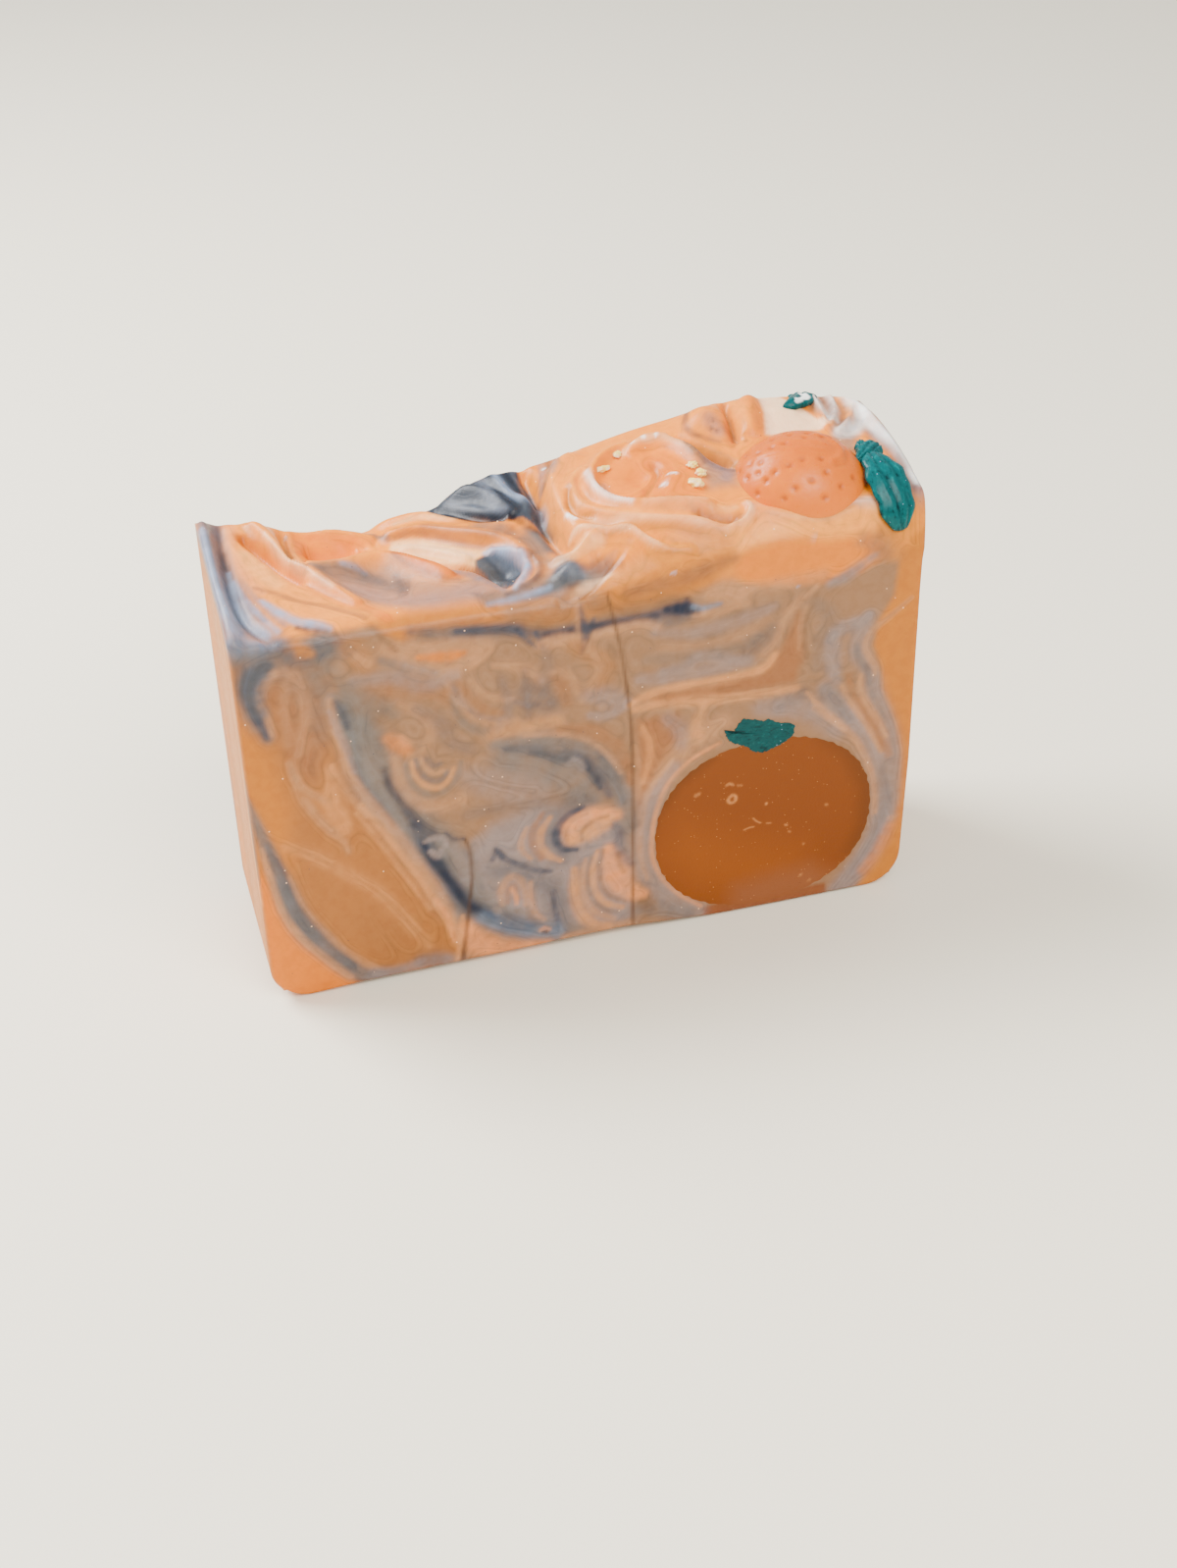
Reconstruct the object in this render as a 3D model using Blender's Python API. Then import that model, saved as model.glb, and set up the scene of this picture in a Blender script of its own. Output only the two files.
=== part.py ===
# A bar of poured, swirled soap with sweet oranges set in it: an embedded round that the cut
# shows as a disc with its leaf, and a small moulded orange with leaves on the sculpted top.
# X runs along the bar, Y from the front cut face to the back one, Z up. Metres throughout.
# The origin is on the base, in its middle.

import math

import bmesh
import bpy
import numpy as np
from mathutils import Vector

MM = 0.001

# Driving dimensions
LENGTH = 89.0 * MM
THICKNESS = 25.4 * MM
CORNER_RADIUS = 4.8 * MM
EDGE_SOFTENING = 0.35 * MM
FIT_GAP = 0.3 * MM
TOP_COLUMNS = 82
CORNER_STEPS = 6
STROKE_SAMPLES = 10

HALF_LENGTH = LENGTH / 2
HALF_THICKNESS = THICKNESS / 2

# The right end's X at heights up it, in millimetres: (z, x)
RIGHT_END = [(0.0, 43.2), (10.0, 43.5), (20.0, 43.8), (46.0, 43.8), (52.0, 43.9), (58.0, 44.5)]

# Heights of the poured top along the bar, as (x, z) in millimetres
FRONT_TOP = [(-44.5, 53.8), (-20, 54.2), (-3, 54.0), (3, 55.2), (12, 57.6), (28, 58.3), (38, 58.4), (44.5, 57.6)]
MIDDLE_TOP = [(-44.5, 56.3), (-36, 54.8), (-24, 53.6), (-12, 54.4), (-4, 56.0), (3, 59.3), (14, 61.6),
              (26, 61.6), (38, 61.3), (44.5, 60.8)]
BACK_TOP = [(-44.5, 57.8), (-38, 56.8), (-31, 54.2), (-24, 53.4), (-18, 54.9), (-10, 57.2), (-3, 58.6),
            (3, 59.8), (13, 62.0), (26, 63.8), (36, 63.0), (44.5, 61.0)]
# How far the top rolls over towards the front cut, as (x, drop) in millimetres
FRONT_ROLL = [(-44.5, 0.0), (0, 0.1), (10, 1.4), (28, 2.2), (37, 3.6), (42, 5.6), (44.5, 7.0)]
FRONT_ROLL_DEPTH = 3.6 * MM

# Folds that the spatula left: points (x, y), height, width on the left and on the right of the
# direction of travel, all in millimetres. A negative height is a furrow.
FOLDS = {
    "left_rim": ([(-43.6, 13.0), (-43.9, 0.0), (-43.6, -13.0)], 0.9, 1.2, 1.2),
    "rim_furrow": ([(-41.3, 13.0), (-41.9, 4.0), (-41.3, -5.0), (-38.7, -12.5)], -0.8, 1.2, 1.0),
    "deep_cut": ([(-39.4, 9.4), (-37.0, 5.0), (-33.6, 0.0)], -1.2, 1.1, 1.2),
    "left_fold": ([(-38.6, 13.0), (-36.0, 9.3), (-32.3, 2.0), (-26.3, -8.0)], 1.4, 1.9, 1.3),
    "lobe_shadow": ([(-35.2, 13.0), (-33.8, 8.6), (-31.6, 5.2)], -1.1, 1.2, 1.2),
    "back_lobe": ([(-32.6, 13.0), (-28.5, 12.6), (-23.5, 10.9), (-19.5, 8.6)], 1.5, 2.4, 1.4),
    "scoop": ([(-31.6, 7.2), (-28.5, 7.0), (-24.0, 7.4)], -1.6, 1.8, 1.4),
    "scoop_lip": ([(-31.4, 4.6), (-26.0, 4.6), (-21.0, 5.4), (-17.6, 1.6), (-13.0, -3.6)], 1.3, 1.2, 2.0),
    "ribbon": ([(-21.5, 8.6), (-16.8, 7.0), (-12.8, 3.6), (-7.8, -1.4), (-5.8, -6.0)], 1.3, 1.6, 1.4),
    "ribbon_shadow": ([(-17.4, 3.4), (-13.8, -2.4), (-9.6, -8.0)], -0.9, 1.2, 1.2),
    "back_block": ([(-22.2, 13.0), (-18.0, 11.6), (-11.6, 8.0), (-6.2, 1.6)], 1.6, 1.5, 1.6),
    "grey_ridge": ([(-12.8, 13.0), (-8.4, 8.6), (-4.9, 3.2)], 1.4, 1.4, 1.7),
    "grey_furrow": ([(-15.6, 12.8), (-11.4, 7.2), (-7.8, 2.8)], -0.9, 1.2, 1.2),
    "mound_foot": ([(-2.3, 13.0), (-2.1, 6.0), (-2.3, 0.0), (-1.2, -6.4)], -1.8, 1.3, 1.3),
    "outer_roll": ([(4.4, 11.2), (1.0, 8.0), (-0.3, 2.8), (0.0, -3.0), (1.6, -7.4)], 1.4, 1.9, 1.4),
    "ring": ([(4.6, 6.6), (2.2, 3.4), (2.6, -1.6), (7.0, -5.6), (13.0, -7.9), (19.4, -9.8)], 1.1, 1.3, 1.4),
    "inner_lip": ([(11.0, 8.6), (6.8, 6.2), (5.8, 2.2), (8.4, -2.9), (13.4, -5.2), (18.0, -5.6)], 1.2, 1.2, 1.5),
    "dome_back": ([(10.0, 6.0), (13.5, 7.8), (16.8, 5.8), (18.6, 0.0)], 1.2, 1.3, 1.4),
    "lobe_furrow": ([(16.4, 7.0), (19.4, 3.2), (22.4, -0.6)], -1.8, 1.3, 1.3),
    "tall_lobe": ([(28.6, 12.4), (27.2, 7.6), (26.2, 3.8)], 1.5, 1.7, 1.7),
    "lobe_gap": ([(25.2, 12.0), (24.7, 7.6), (24.2, 3.6)], -1.2, 1.1, 1.1),
    "fan": ([(37.2, 2.6), (40.0, 6.0), (42.0, 10.6)], 1.0, 1.2, 1.2),
    "right_rim": ([(40.8, 12.9), (43.0, 9.0), (43.5, 2.0), (43.6, -6.0)], 0.8, 1.2, 1.2),
    "cradle_lip": ([(20.6, -6.8), (25.0, -9.9), (31.0, -11.3), (37.0, -9.9)], 0.7, 1.2, 1.2),
    "scallop": ([(6.6, -7.9), (8.5, -10.2), (13.4, -11.4)], 0.6, 1.1, 1.1),
    "grey_line": ([(-4.4, -12.4), (0.6, -11.0), (5.6, -8.4)], -0.8, 1.2, 1.2),
}
# Round swellings and hollows: centre (x, y), height, radius, in millimetres
LUMPS = {
    "lilac_hollow": ((-24.5, -3.0), -1.1, 4.6),
    "pool": ((-9.5, -3.9), -1.4, 2.0),
    "grey_lump": ((-1.4, -9.8), 1.0, 1.8),
    "dome_hollow": ((11.4, 1.4), -1.3, 2.4),
    "dome_lump": ((13.6, -1.8), 0.8, 1.8),
    "finger_lobe": ((21.6, 9.2), 1.8, 3.0),
    "cream_flat": ((31.8, 8.2), 0.6, 3.0),
    "ash_hollow": ((40.6, 1.6), -0.7, 2.2),
}

# The embedded round and its leaf, as the cut shows them, in (x, z). The leaf's outline runs clockwise.
ROUND_CENTRE = (23.0 * MM, 14.2 * MM)
ROUND_HALF_WIDTH = 15.2 * MM
ROUND_HALF_HEIGHT = 13.2 * MM
ROUND_SQUARENESS = 2.2
ROUND_SIDES = 48
ROUND_LEAF = [(17.3, 30.0), (18.8, 29.8), (19.9, 31.2), (23.2, 30.5), (25.0, 29.7), (27.0, 28.9), (26.9, 27.6),
              (25.9, 26.7), (24.3, 26.0), (22.5, 25.5), (21.1, 26.1), (20.3, 27.0), (18.7, 27.8), (17.8, 28.6)]

# The small moulded orange
ORANGE_CENTRE = Vector((30.3, -3.2, 57.1)) * MM
ORANGE_HALF_SIZES = Vector((9.4, 8.3, 8.2)) * MM
ORANGE_TILT = math.radians(6.0)
ORANGE_SUBDIVISIONS = 4
PIT_DEPTH = 0.28 * MM
PIT_SHARE = 0.13
PIT_SEED = 7
STEM_DIRECTION = Vector((0.80, 0.28, 0.53)).normalized()
STEM_DIMPLE_DEPTH = 1.0 * MM
STEM_DIMPLE_WIDTH = 0.30

# Leaves: midrib points (x, y, z) and half widths at them in millimetres, and the blade's facing
LEAF_THICKNESS = 1.5 * MM
LEAF_STATIONS = 16
LEAF_SIDES = 12
VEIN_GROOVE = 0.30 * MM
LARGE_LEAF_RIB = [(39.9, -2.8, 62.1), (39.7, -6.0, 61.8), (39.9, -9.0, 60.6), (40.3, -11.0, 58.2), (40.1, -11.9, 55.6)]
LARGE_LEAF_WIDTHS = [0.8, 2.0, 2.6, 2.2, 0.6]
LARGE_LEAF_FACING = Vector((0.10, -0.62, 0.78))
SMALL_LEAF_RIB = [(37.4, -3.1, 62.2), (39.0, -2.5, 62.1), (40.6, -1.5, 62.0), (42.0, -0.8, 61.8)]
SMALL_LEAF_WIDTHS = [0.6, 1.6, 1.4, 0.6]
SMALL_LEAF_FACING = Vector((0.05, -0.45, 0.89))
BACK_LEAF_RIB = [(33.8, 7.8, 64.0), (35.0, 9.2, 63.9), (36.0, 11.2, 63.5), (36.6, 13.4, 63.1)]
BACK_LEAF_WIDTHS = [0.6, 1.5, 1.7, 1.5]
BACK_LEAF_FACING = Vector((0.0, 0.15, 0.99))

# Colours as linear RGB, and roughness
SOAP = ("swirled_soap", (0.72, 0.33, 0.15), 0.42)
ROUND_SOAP = ("deep_orange_soap", (0.46, 0.13, 0.02), 0.50)
ORANGE_SOAP = ("orange_peel_soap", (0.87, 0.27, 0.08), 0.38)
LEAF_SOAP = ("green_soap", (0.0, 0.17, 0.12), 0.30)


def clear_scene():
    for obj in list(bpy.data.objects):
        bpy.data.objects.remove(obj)


def material(name, colour, roughness):
    made = bpy.data.materials.new(name)
    made.use_nodes = True
    shader = made.node_tree.nodes["Principled BSDF"]
    shader.inputs["Base Color"].default_value = (*colour, 1.0)
    shader.inputs["Roughness"].default_value = roughness
    return made


def add_object(name, mesh, finish):
    obj = bpy.data.objects.new(name, mesh)
    bpy.context.scene.collection.objects.link(obj)
    if finish:
        mesh.materials.append(finish)
    return obj


def smooth_line(points, samples=STROKE_SAMPLES):
    """A Catmull-Rom curve through the points, as an array of its samples."""
    p = np.array(points, float)
    p = np.vstack([2 * p[0] - p[1], p, 2 * p[-1] - p[-2]])
    t = np.linspace(0, 1, samples, endpoint=False)[:, None]
    spans = []
    for a, b, c, d in zip(p, p[1:], p[2:], p[3:]):
        spans.append(0.5 * (2 * b + (c - a) * t + (2 * a - 5 * b + 4 * c - d) * t**2 + (3 * b - a - 3 * c + d) * t**3))
    return np.vstack([*spans, p[-2]])


def profile(points, x):
    """The height at x (both in millimetres) on a smooth curve through (x, height) points."""
    line = smooth_line(points)
    return np.interp(x, line[:, 0], line[:, 1])


def fold_shape(x, y, points, height, left_width, right_width):
    """One fold or furrow: highest on its line, falling off to each side and towards its ends."""
    line = smooth_line(points)
    nearest = np.full(np.shape(x), np.inf)
    shape = np.zeros(np.shape(x))
    count = len(line) - 1
    for i in range(count):
        (ax, ay), (dx, dy) = line[i], line[i + 1] - line[i]
        along = np.clip(((x - ax) * dx + (y - ay) * dy) / (dx * dx + dy * dy), 0, 1)
        ox, oy = x - ax - along * dx, y - ay - along * dy
        distance = np.hypot(ox, oy)
        on_left = dx * oy - dy * ox > 0
        share = (i + along) / count
        fade = np.sqrt(np.clip(1 - (2 * share - 1) ** 4, 0, 1)) * 0.8 + 0.2
        value = fade * np.exp(-((distance / np.where(on_left, left_width, right_width)) ** 2))
        closer = distance < nearest
        nearest = np.where(closer, distance, nearest)
        shape = np.where(closer, value, shape)
    return height * shape


def top_height(x, y):
    """Height of the poured top over the base at (x, y), all in millimetres."""
    share = np.clip(y / (HALF_THICKNESS / MM), -1, 1)
    front, middle, back = (profile(points, x) for points in (FRONT_TOP, MIDDLE_TOP, BACK_TOP))
    z = middle + (back - front) / 2 * share + ((back + front) / 2 - middle) * share**2
    over = np.clip((-HALF_THICKNESS - y * MM + FRONT_ROLL_DEPTH) / FRONT_ROLL_DEPTH, 0, 1)
    z = z - np.interp(x, *np.array(FRONT_ROLL).T) * over**2
    for points, height, left_width, right_width in FOLDS.values():
        z = z + fold_shape(x, y, points, height, left_width, right_width)
    for (cx, cy), height, radius in LUMPS.values():
        z = z + height * np.exp(-(((x - cx) ** 2 + (y - cy) ** 2) / radius**2))
    return z


def right_end(z):
    """X of the right end at a height: it leans in a little towards the base."""
    return float(np.interp(z / MM, *np.array(RIGHT_END).T)) * MM


def bar_section(y, inset):
    """The bar's closed outline across Y at one depth, anticlockwise seen from the front."""
    radius = CORNER_RADIUS - inset
    points = []
    corner_x = right_end(CORNER_RADIUS) - CORNER_RADIUS
    for i in range(CORNER_STEPS + 1):
        angle = math.radians(-90 + 90 * i / CORNER_STEPS)
        points.append((corner_x + radius * math.cos(angle), CORNER_RADIUS + radius * math.sin(angle)))
    for share in (0.25, 0.5, 0.75, 1.0):
        z = CORNER_RADIUS + share * (46 * MM - CORNER_RADIUS)
        points.append((right_end(z) - inset, z))
    top_right = HALF_LENGTH - inset
    xs = np.linspace(top_right, -HALF_LENGTH + inset, TOP_COLUMNS)
    zs = top_height(xs / MM, np.full(TOP_COLUMNS, y / MM)) * MM - inset
    points += zip(xs.tolist(), zs.tolist())
    for z in (40 * MM, 22 * MM):
        points.append((-HALF_LENGTH + inset, z))
    for i in range(CORNER_STEPS + 1):
        angle = math.radians(180 + 90 * i / CORNER_STEPS)
        x = -HALF_LENGTH + CORNER_RADIUS + radius * math.cos(angle)
        points.append((x, CORNER_RADIUS + radius * math.sin(angle)))
    return points


def loft(name, rings, finish):
    """A closed solid through rings of points, each with the same count, with flat ends."""
    shape = bmesh.new()
    loops = [[shape.verts.new(point) for point in ring] for ring in rings]
    count = len(loops[0])
    for near, far in zip(loops, loops[1:]):
        for i in range(count):
            shape.faces.new((near[i], near[(i + 1) % count], far[(i + 1) % count], far[i]))
    shape.faces.new(reversed(loops[0]))
    shape.faces.new(loops[-1])
    bmesh.ops.recalc_face_normals(shape, faces=shape.faces)
    mesh = bpy.data.meshes.new(name)
    shape.to_mesh(mesh)
    shape.free()
    return add_object(name, mesh, finish)


def make_bar(finish):
    """The poured soap: flat cut faces, a moulded base with round corners, and the sculpted top."""
    half = HALF_THICKNESS
    inner = half - EDGE_SOFTENING
    depths = [(-half, EDGE_SOFTENING), (-inner, 0.0)]
    depths += [(y * MM, 0.0) for y in np.linspace(-11.6, 11.6, 23)]
    depths += [(inner, 0.0), (half, EDGE_SOFTENING)]
    rings = [[(x, y, z) for x, z in bar_section(y, inset)] for y, inset in depths]
    return loft("soap_bar", rings, finish)


def prism(name, outline, half_depth, finish):
    """An outline in (x, z) drawn out along Y to both sides."""
    rings = [[(x, y, z) for x, z in outline] for y in (-half_depth, half_depth)]
    return loft(name, rings, finish)


def round_outline(grow):
    points = []
    power = 2 / ROUND_SQUARENESS
    for i in range(ROUND_SIDES):
        angle = 2 * math.pi * i / ROUND_SIDES
        c, s = math.cos(angle), math.sin(angle)
        x = ROUND_CENTRE[0] + (ROUND_HALF_WIDTH + grow) * math.copysign(abs(c) ** power, c)
        z = ROUND_CENTRE[1] + (ROUND_HALF_HEIGHT + grow) * math.copysign(abs(s) ** power, s)
        points.append((x, z))
    return points


def leaf_outline(grow):
    """The round's leaf as the cut shows it, each side moved out by grow."""
    points = [Vector((x, z)) * MM for x, z in ROUND_LEAF]
    grown = []
    for before, here, after in zip(points[-1:] + points, points, points[1:] + points[:1]):
        into, away = (here - before).normalized(), (after - here).normalized()
        left, right = Vector((-into.y, into.x)), Vector((-away.y, away.x))
        grown.append(tuple(here + (left + right) * grow / (1 + left.dot(right))))
    return grown


def subtract(obj, cutter):
    """Cuts one solid out of another and applies the cut."""
    cut = obj.modifiers.new("cut", "BOOLEAN")
    cut.operation = "DIFFERENCE"
    cut.object = cutter
    apply_modifiers(obj)


def apply_modifiers(obj):
    graph = bpy.context.evaluated_depsgraph_get()
    mesh = bpy.data.meshes.new_from_object(obj.evaluated_get(graph))
    obj.modifiers.clear()
    obj.data = mesh


def make_round(finish):
    """The embedded column of deep orange soap that the cuts show as a disc, dented by its leaf."""
    column = prism("orange_round", round_outline(0), HALF_THICKNESS, finish)
    dent = prism("dent", leaf_outline(FIT_GAP), LENGTH, None)
    subtract(column, dent)
    bpy.data.objects.remove(dent)
    return column


def orange_point(direction, grow):
    """A point of the small orange's skin in a direction from its centre, before its tilt."""
    sizes = ORANGE_HALF_SIZES
    x, y, z = direction
    return Vector((x * (sizes.x + grow), y * (sizes.y + grow), z * (sizes.z + grow)))


def orange_mesh(name, grow, pits):
    """The small orange: an oblate ball with a stem dimple and, where asked, pits in its peel."""
    shape = bmesh.new()
    bmesh.ops.create_icosphere(shape, subdivisions=ORANGE_SUBDIVISIONS, radius=1.0)
    chance = np.random.default_rng(PIT_SEED).random(len(shape.verts))
    for vert, draw in zip(shape.verts, chance):
        direction = vert.co.normalized()
        sink = 0.0
        if pits:
            off_stem = 1 - direction.dot(STEM_DIRECTION)
            sink += STEM_DIMPLE_DEPTH * math.exp(-off_stem / (STEM_DIMPLE_WIDTH**2 / 2))
            alone = all(not edge.other_vert(vert).tag for edge in vert.link_edges)
            vert.tag = bool(draw < PIT_SHARE) and alone
            sink += PIT_DEPTH * vert.tag
        point = orange_point(direction, grow) - direction * sink
        turned = Vector((point.x * math.cos(ORANGE_TILT) + point.z * math.sin(ORANGE_TILT), point.y,
                         point.z * math.cos(ORANGE_TILT) - point.x * math.sin(ORANGE_TILT)))
        vert.co = ORANGE_CENTRE + turned
    mesh = bpy.data.meshes.new(name)
    shape.to_mesh(mesh)
    shape.free()
    return mesh


def leaf_blade(name, rib, widths, facing, grow, finish):
    """A leaf of soap: an oval section drawn along the midrib, with a groove down its face."""
    count = len(rib)
    line = smooth_line(rib, LEAF_STATIONS // (count - 1)) * MM
    spread = smooth_line([(i, width) for i, width in enumerate(widths)], LEAF_STATIONS // (count - 1))
    rings = []
    for i, centre in enumerate(line):
        ahead = Vector(line[min(i + 1, len(line) - 1)]) - Vector(line[max(i - 1, 0)])
        ahead.normalize()
        across = facing.cross(ahead).normalized()
        up = ahead.cross(across).normalized()
        end_shift = ahead * grow * ((i == len(line) - 1) - (i == 0))
        half_width = max(spread[i][1], 0.3) * MM + grow
        half_height = LEAF_THICKNESS / 2 + grow
        ring = []
        for k in range(LEAF_SIDES):
            angle = 2 * math.pi * k / LEAF_SIDES
            side, lift = math.cos(angle), math.sin(angle)
            groove = VEIN_GROOVE * (lift > 0.9) if grow == 0 else 0.0
            offset = across * side * half_width + up * (lift * half_height - groove)
            ring.append(Vector(centre) + offset + end_shift)
        rings.append(ring)
    return loft(name, rings, finish)


def unite(obj, other):
    join = obj.modifiers.new("join", "BOOLEAN")
    join.operation = "UNION"
    join.object = other
    apply_modifiers(obj)
    bpy.data.objects.remove(other)


def box(name, low, high):
    """An upright box between two opposite corners."""
    rings = [[(low[0], y, low[2]), (high[0], y, low[2]), (high[0], y, high[2]), (low[0], y, high[2])]
             for y in (low[1], high[1])]
    return loft(name, rings, None)


def front_leaf(name, grow, finish):
    """The large leaf over the shoulder and the small one pinched to it, as one piece."""
    leaf = leaf_blade(name, LARGE_LEAF_RIB, LARGE_LEAF_WIDTHS, LARGE_LEAF_FACING, grow, finish)
    small = leaf_blade("small", SMALL_LEAF_RIB, SMALL_LEAF_WIDTHS, SMALL_LEAF_FACING, grow, None)
    unite(leaf, small)
    return leaf


def make_front_leaf(finish):
    """The front leaf, hollowed where it lies against the small orange."""
    leaf = front_leaf("front_leaf", 0, finish)
    hollow = add_object("hollow", orange_mesh("hollow", FIT_GAP, False), None)
    subtract(leaf, hollow)
    bpy.data.objects.remove(hollow)
    return leaf


def make_back_leaf(finish):
    """The leaf at the back of the mound, trimmed by the back cut."""
    leaf = leaf_blade("back_leaf", BACK_LEAF_RIB, BACK_LEAF_WIDTHS, BACK_LEAF_FACING, 0, finish)
    trim = box("trim", (0.0, HALF_THICKNESS, 0.0), (LENGTH, LENGTH, LENGTH))
    subtract(leaf, trim)
    bpy.data.objects.remove(trim)
    return leaf


def make_sockets(bar):
    """Room in the poured soap for each piece set in it, with the fit gap all round."""
    cutters = [
        prism("round_socket", round_outline(FIT_GAP), LENGTH, None),
        prism("leaf_socket", leaf_outline(FIT_GAP), LENGTH, None),
        add_object("orange_socket", orange_mesh("orange_socket", FIT_GAP, False), None),
        front_leaf("front_leaf_socket", FIT_GAP, None),
        leaf_blade("back_leaf_socket", BACK_LEAF_RIB, BACK_LEAF_WIDTHS, BACK_LEAF_FACING, FIT_GAP, None),
    ]
    for cutter in cutters:
        subtract(bar, cutter)
        bpy.data.objects.remove(cutter)


def main():
    clear_scene()
    soap, round_soap, orange_soap, leaf_soap = (
        material(*finish) for finish in (SOAP, ROUND_SOAP, ORANGE_SOAP, LEAF_SOAP))
    bar = make_bar(soap)
    make_sockets(bar)
    make_round(round_soap)
    prism("round_leaf", leaf_outline(0), HALF_THICKNESS, leaf_soap)
    orange = add_object("small_orange", orange_mesh("small_orange", 0, True), orange_soap)
    orange.data.shade_smooth()
    make_front_leaf(leaf_soap).data.shade_smooth()
    make_back_leaf(leaf_soap).data.shade_smooth()


main()
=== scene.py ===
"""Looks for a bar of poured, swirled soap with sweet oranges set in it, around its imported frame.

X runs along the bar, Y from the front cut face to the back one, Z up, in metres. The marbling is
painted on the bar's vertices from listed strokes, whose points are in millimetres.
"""

import math

import bmesh
import bpy
import numpy as np
from mathutils import Matrix, Vector


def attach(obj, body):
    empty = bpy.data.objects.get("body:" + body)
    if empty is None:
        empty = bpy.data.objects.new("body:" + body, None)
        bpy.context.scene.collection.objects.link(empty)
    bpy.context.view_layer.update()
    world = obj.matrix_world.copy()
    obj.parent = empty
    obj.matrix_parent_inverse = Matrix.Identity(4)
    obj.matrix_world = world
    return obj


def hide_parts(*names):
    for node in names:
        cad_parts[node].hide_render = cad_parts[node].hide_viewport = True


MM = 0.001
# Samples between two points of a smooth curve
FOLD_SAMPLES, PROFILE_SAMPLES, STROKE_SAMPLES = 10, 8, 6
LARGEST_SMOOTH_TURN = math.radians(40)

# The bar, in millimetres
HALF_LENGTH = 44.5
HALF_THICKNESS = 12.7
CORNER_RADIUS = 4.8
EDGE_SOFTENING = 0.35
# Its grid: columns along X, slices along Y, rows up Z. The plainer sides step over points.
COLUMNS = 304
SLICES = 84
ROWS = 168
COARSE_STEP = 2
BASE_SLICES = (0, 28, SLICES)
# The right end's place at heights up it, as (z, x), and the hollow under the front edge, as (x, height)
RIGHT_END = [(0, 43.2), (10, 43.5), (20, 43.8), (46, 43.8), (52, 43.9), (58, 44.5)]
BASE_ARCH = [(-44.5, 0), (-39, 0.05), (-33, 0.35), (-20, 0.6), (-10, 0.75), (2, 1), (9, 0.55), (16, 0.1), (24, 0)]
ARCH_DEPTH = 8.0
ARCH_HEIGHT = 9.0

# Heights of the poured top along the bar, as (x, z), and how far it rolls down to the front edge
FRONT_TOP = [(-44.5, 53.8), (-20, 54.2), (-3, 54), (3, 55.2), (12, 57.6), (28, 58.3), (38, 58.4), (44.5, 57.6)]
MIDDLE_TOP = [
    (-44.5, 56.3), (-36, 54.8), (-24, 53.6), (-12, 54.4), (-4, 56), (3, 59.3), (14, 61.6), (26, 61.6), (38, 61.3),
    (44.5, 60.8),
]
BACK_TOP = [
    (-44.5, 57.8), (-39.4, 57), (-34.5, 55.6), (-31, 53.8), (-24, 53), (-20, 54.1), (-14, 55), (-8.5, 58),
    (-3, 58.8), (1.6, 59.3), (12.2, 61.8), (21, 63.2), (25.6, 64), (36.5, 63.2), (44.5, 61.3),
]
FRONT_ROLL = [
    (-44.5, 0.6), (-40, 0.8), (-35, 1.5), (-20, 1.8), (0, 1.9), (10, 2.4), (28, 2.9), (37, 4), (42, 5.8),
    (44.5, 7),
]
FRONT_ROLL_DEPTH = 3.6
# The folds flatten towards the back edge over this depth, to this share of their height
BACK_FADE = 1.6
BACK_RELIEF = 0.35
# How far in from the front edge, as (x, y), the front cut's marbling runs on over the top
LIP_REACH = [(-44.5, 1.6), (0, 1.8), (12, 2.6), (44.5, 3.6)]
# Where the top's own colours begin to show on that lip, as a share of the way
LIP_START = 0.35
# The base repeats the foot of the front's pattern: how far up it, for each millimetre in under the bar
BASE_SHARE = 0.6
# How near a stroke the fine strands still follow it, and the least closeness that is counted
FLOW_REACH = 1.1
LEAST_CLOSENESS = 0.01
# A stroke's colour is full over this share of its half width. Then it fades over a share of that
# width and of the stroke's softness, and its strength wavers along it by this much.
STROKE_CORE, FADE_BY_WIDTH, FADE_BY_SOFTNESS = 0.6, 0.5, 0.8
STROKE_WAVER = 0.15
# Points further than this from a stroke's box are left as they are
STROKE_MARGIN = 5 * FLOW_REACH
# The back cut's pattern is bent below this height, more and more over the next millimetres down
BENT_BELOW, BEND_FADE = 57, 6

# The photograph's camera in the bar's frame, from the picture's perspective: its place in
# millimetres, its axes, and its focal length and picture height in pixels
CAMERA_PLACE = np.array([-62.56, -241.32, 187.26])
CAMERA_RIGHT = (0.96099, -0.27552, -0.02443)
CAMERA_UP = (0.17490, 0.53685, 0.82534)
CAMERA_AHEAD = (0.21428, 0.79741, -0.56410)
FOCAL_LENGTH, PICTURE_HEIGHT = 2270, 1598
SENSOR = 36.0

# The studio, in metres and watts
FLOOR_HALF = 1.2
FLOOR_COLOUR = (0.86, 0.79, 0.63, 1.0)
LIGHT_TARGET = (0, 0, 0.03)
# Lights: name, place, size, power, colour
LIGHTS = [
    ("window", (-0.30, 0.22, 0.42), 0.30, 8.2, (0.97, 0.98, 1.0)),
    ("fill", (0.12, -0.44, 0.52), 0.40, 6.3, (1.0, 0.96, 0.92)),
]
SKY_COLOUR = (0.95, 0.97, 1.0, 1.0)
SKY_STRENGTH = 0.80

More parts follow.
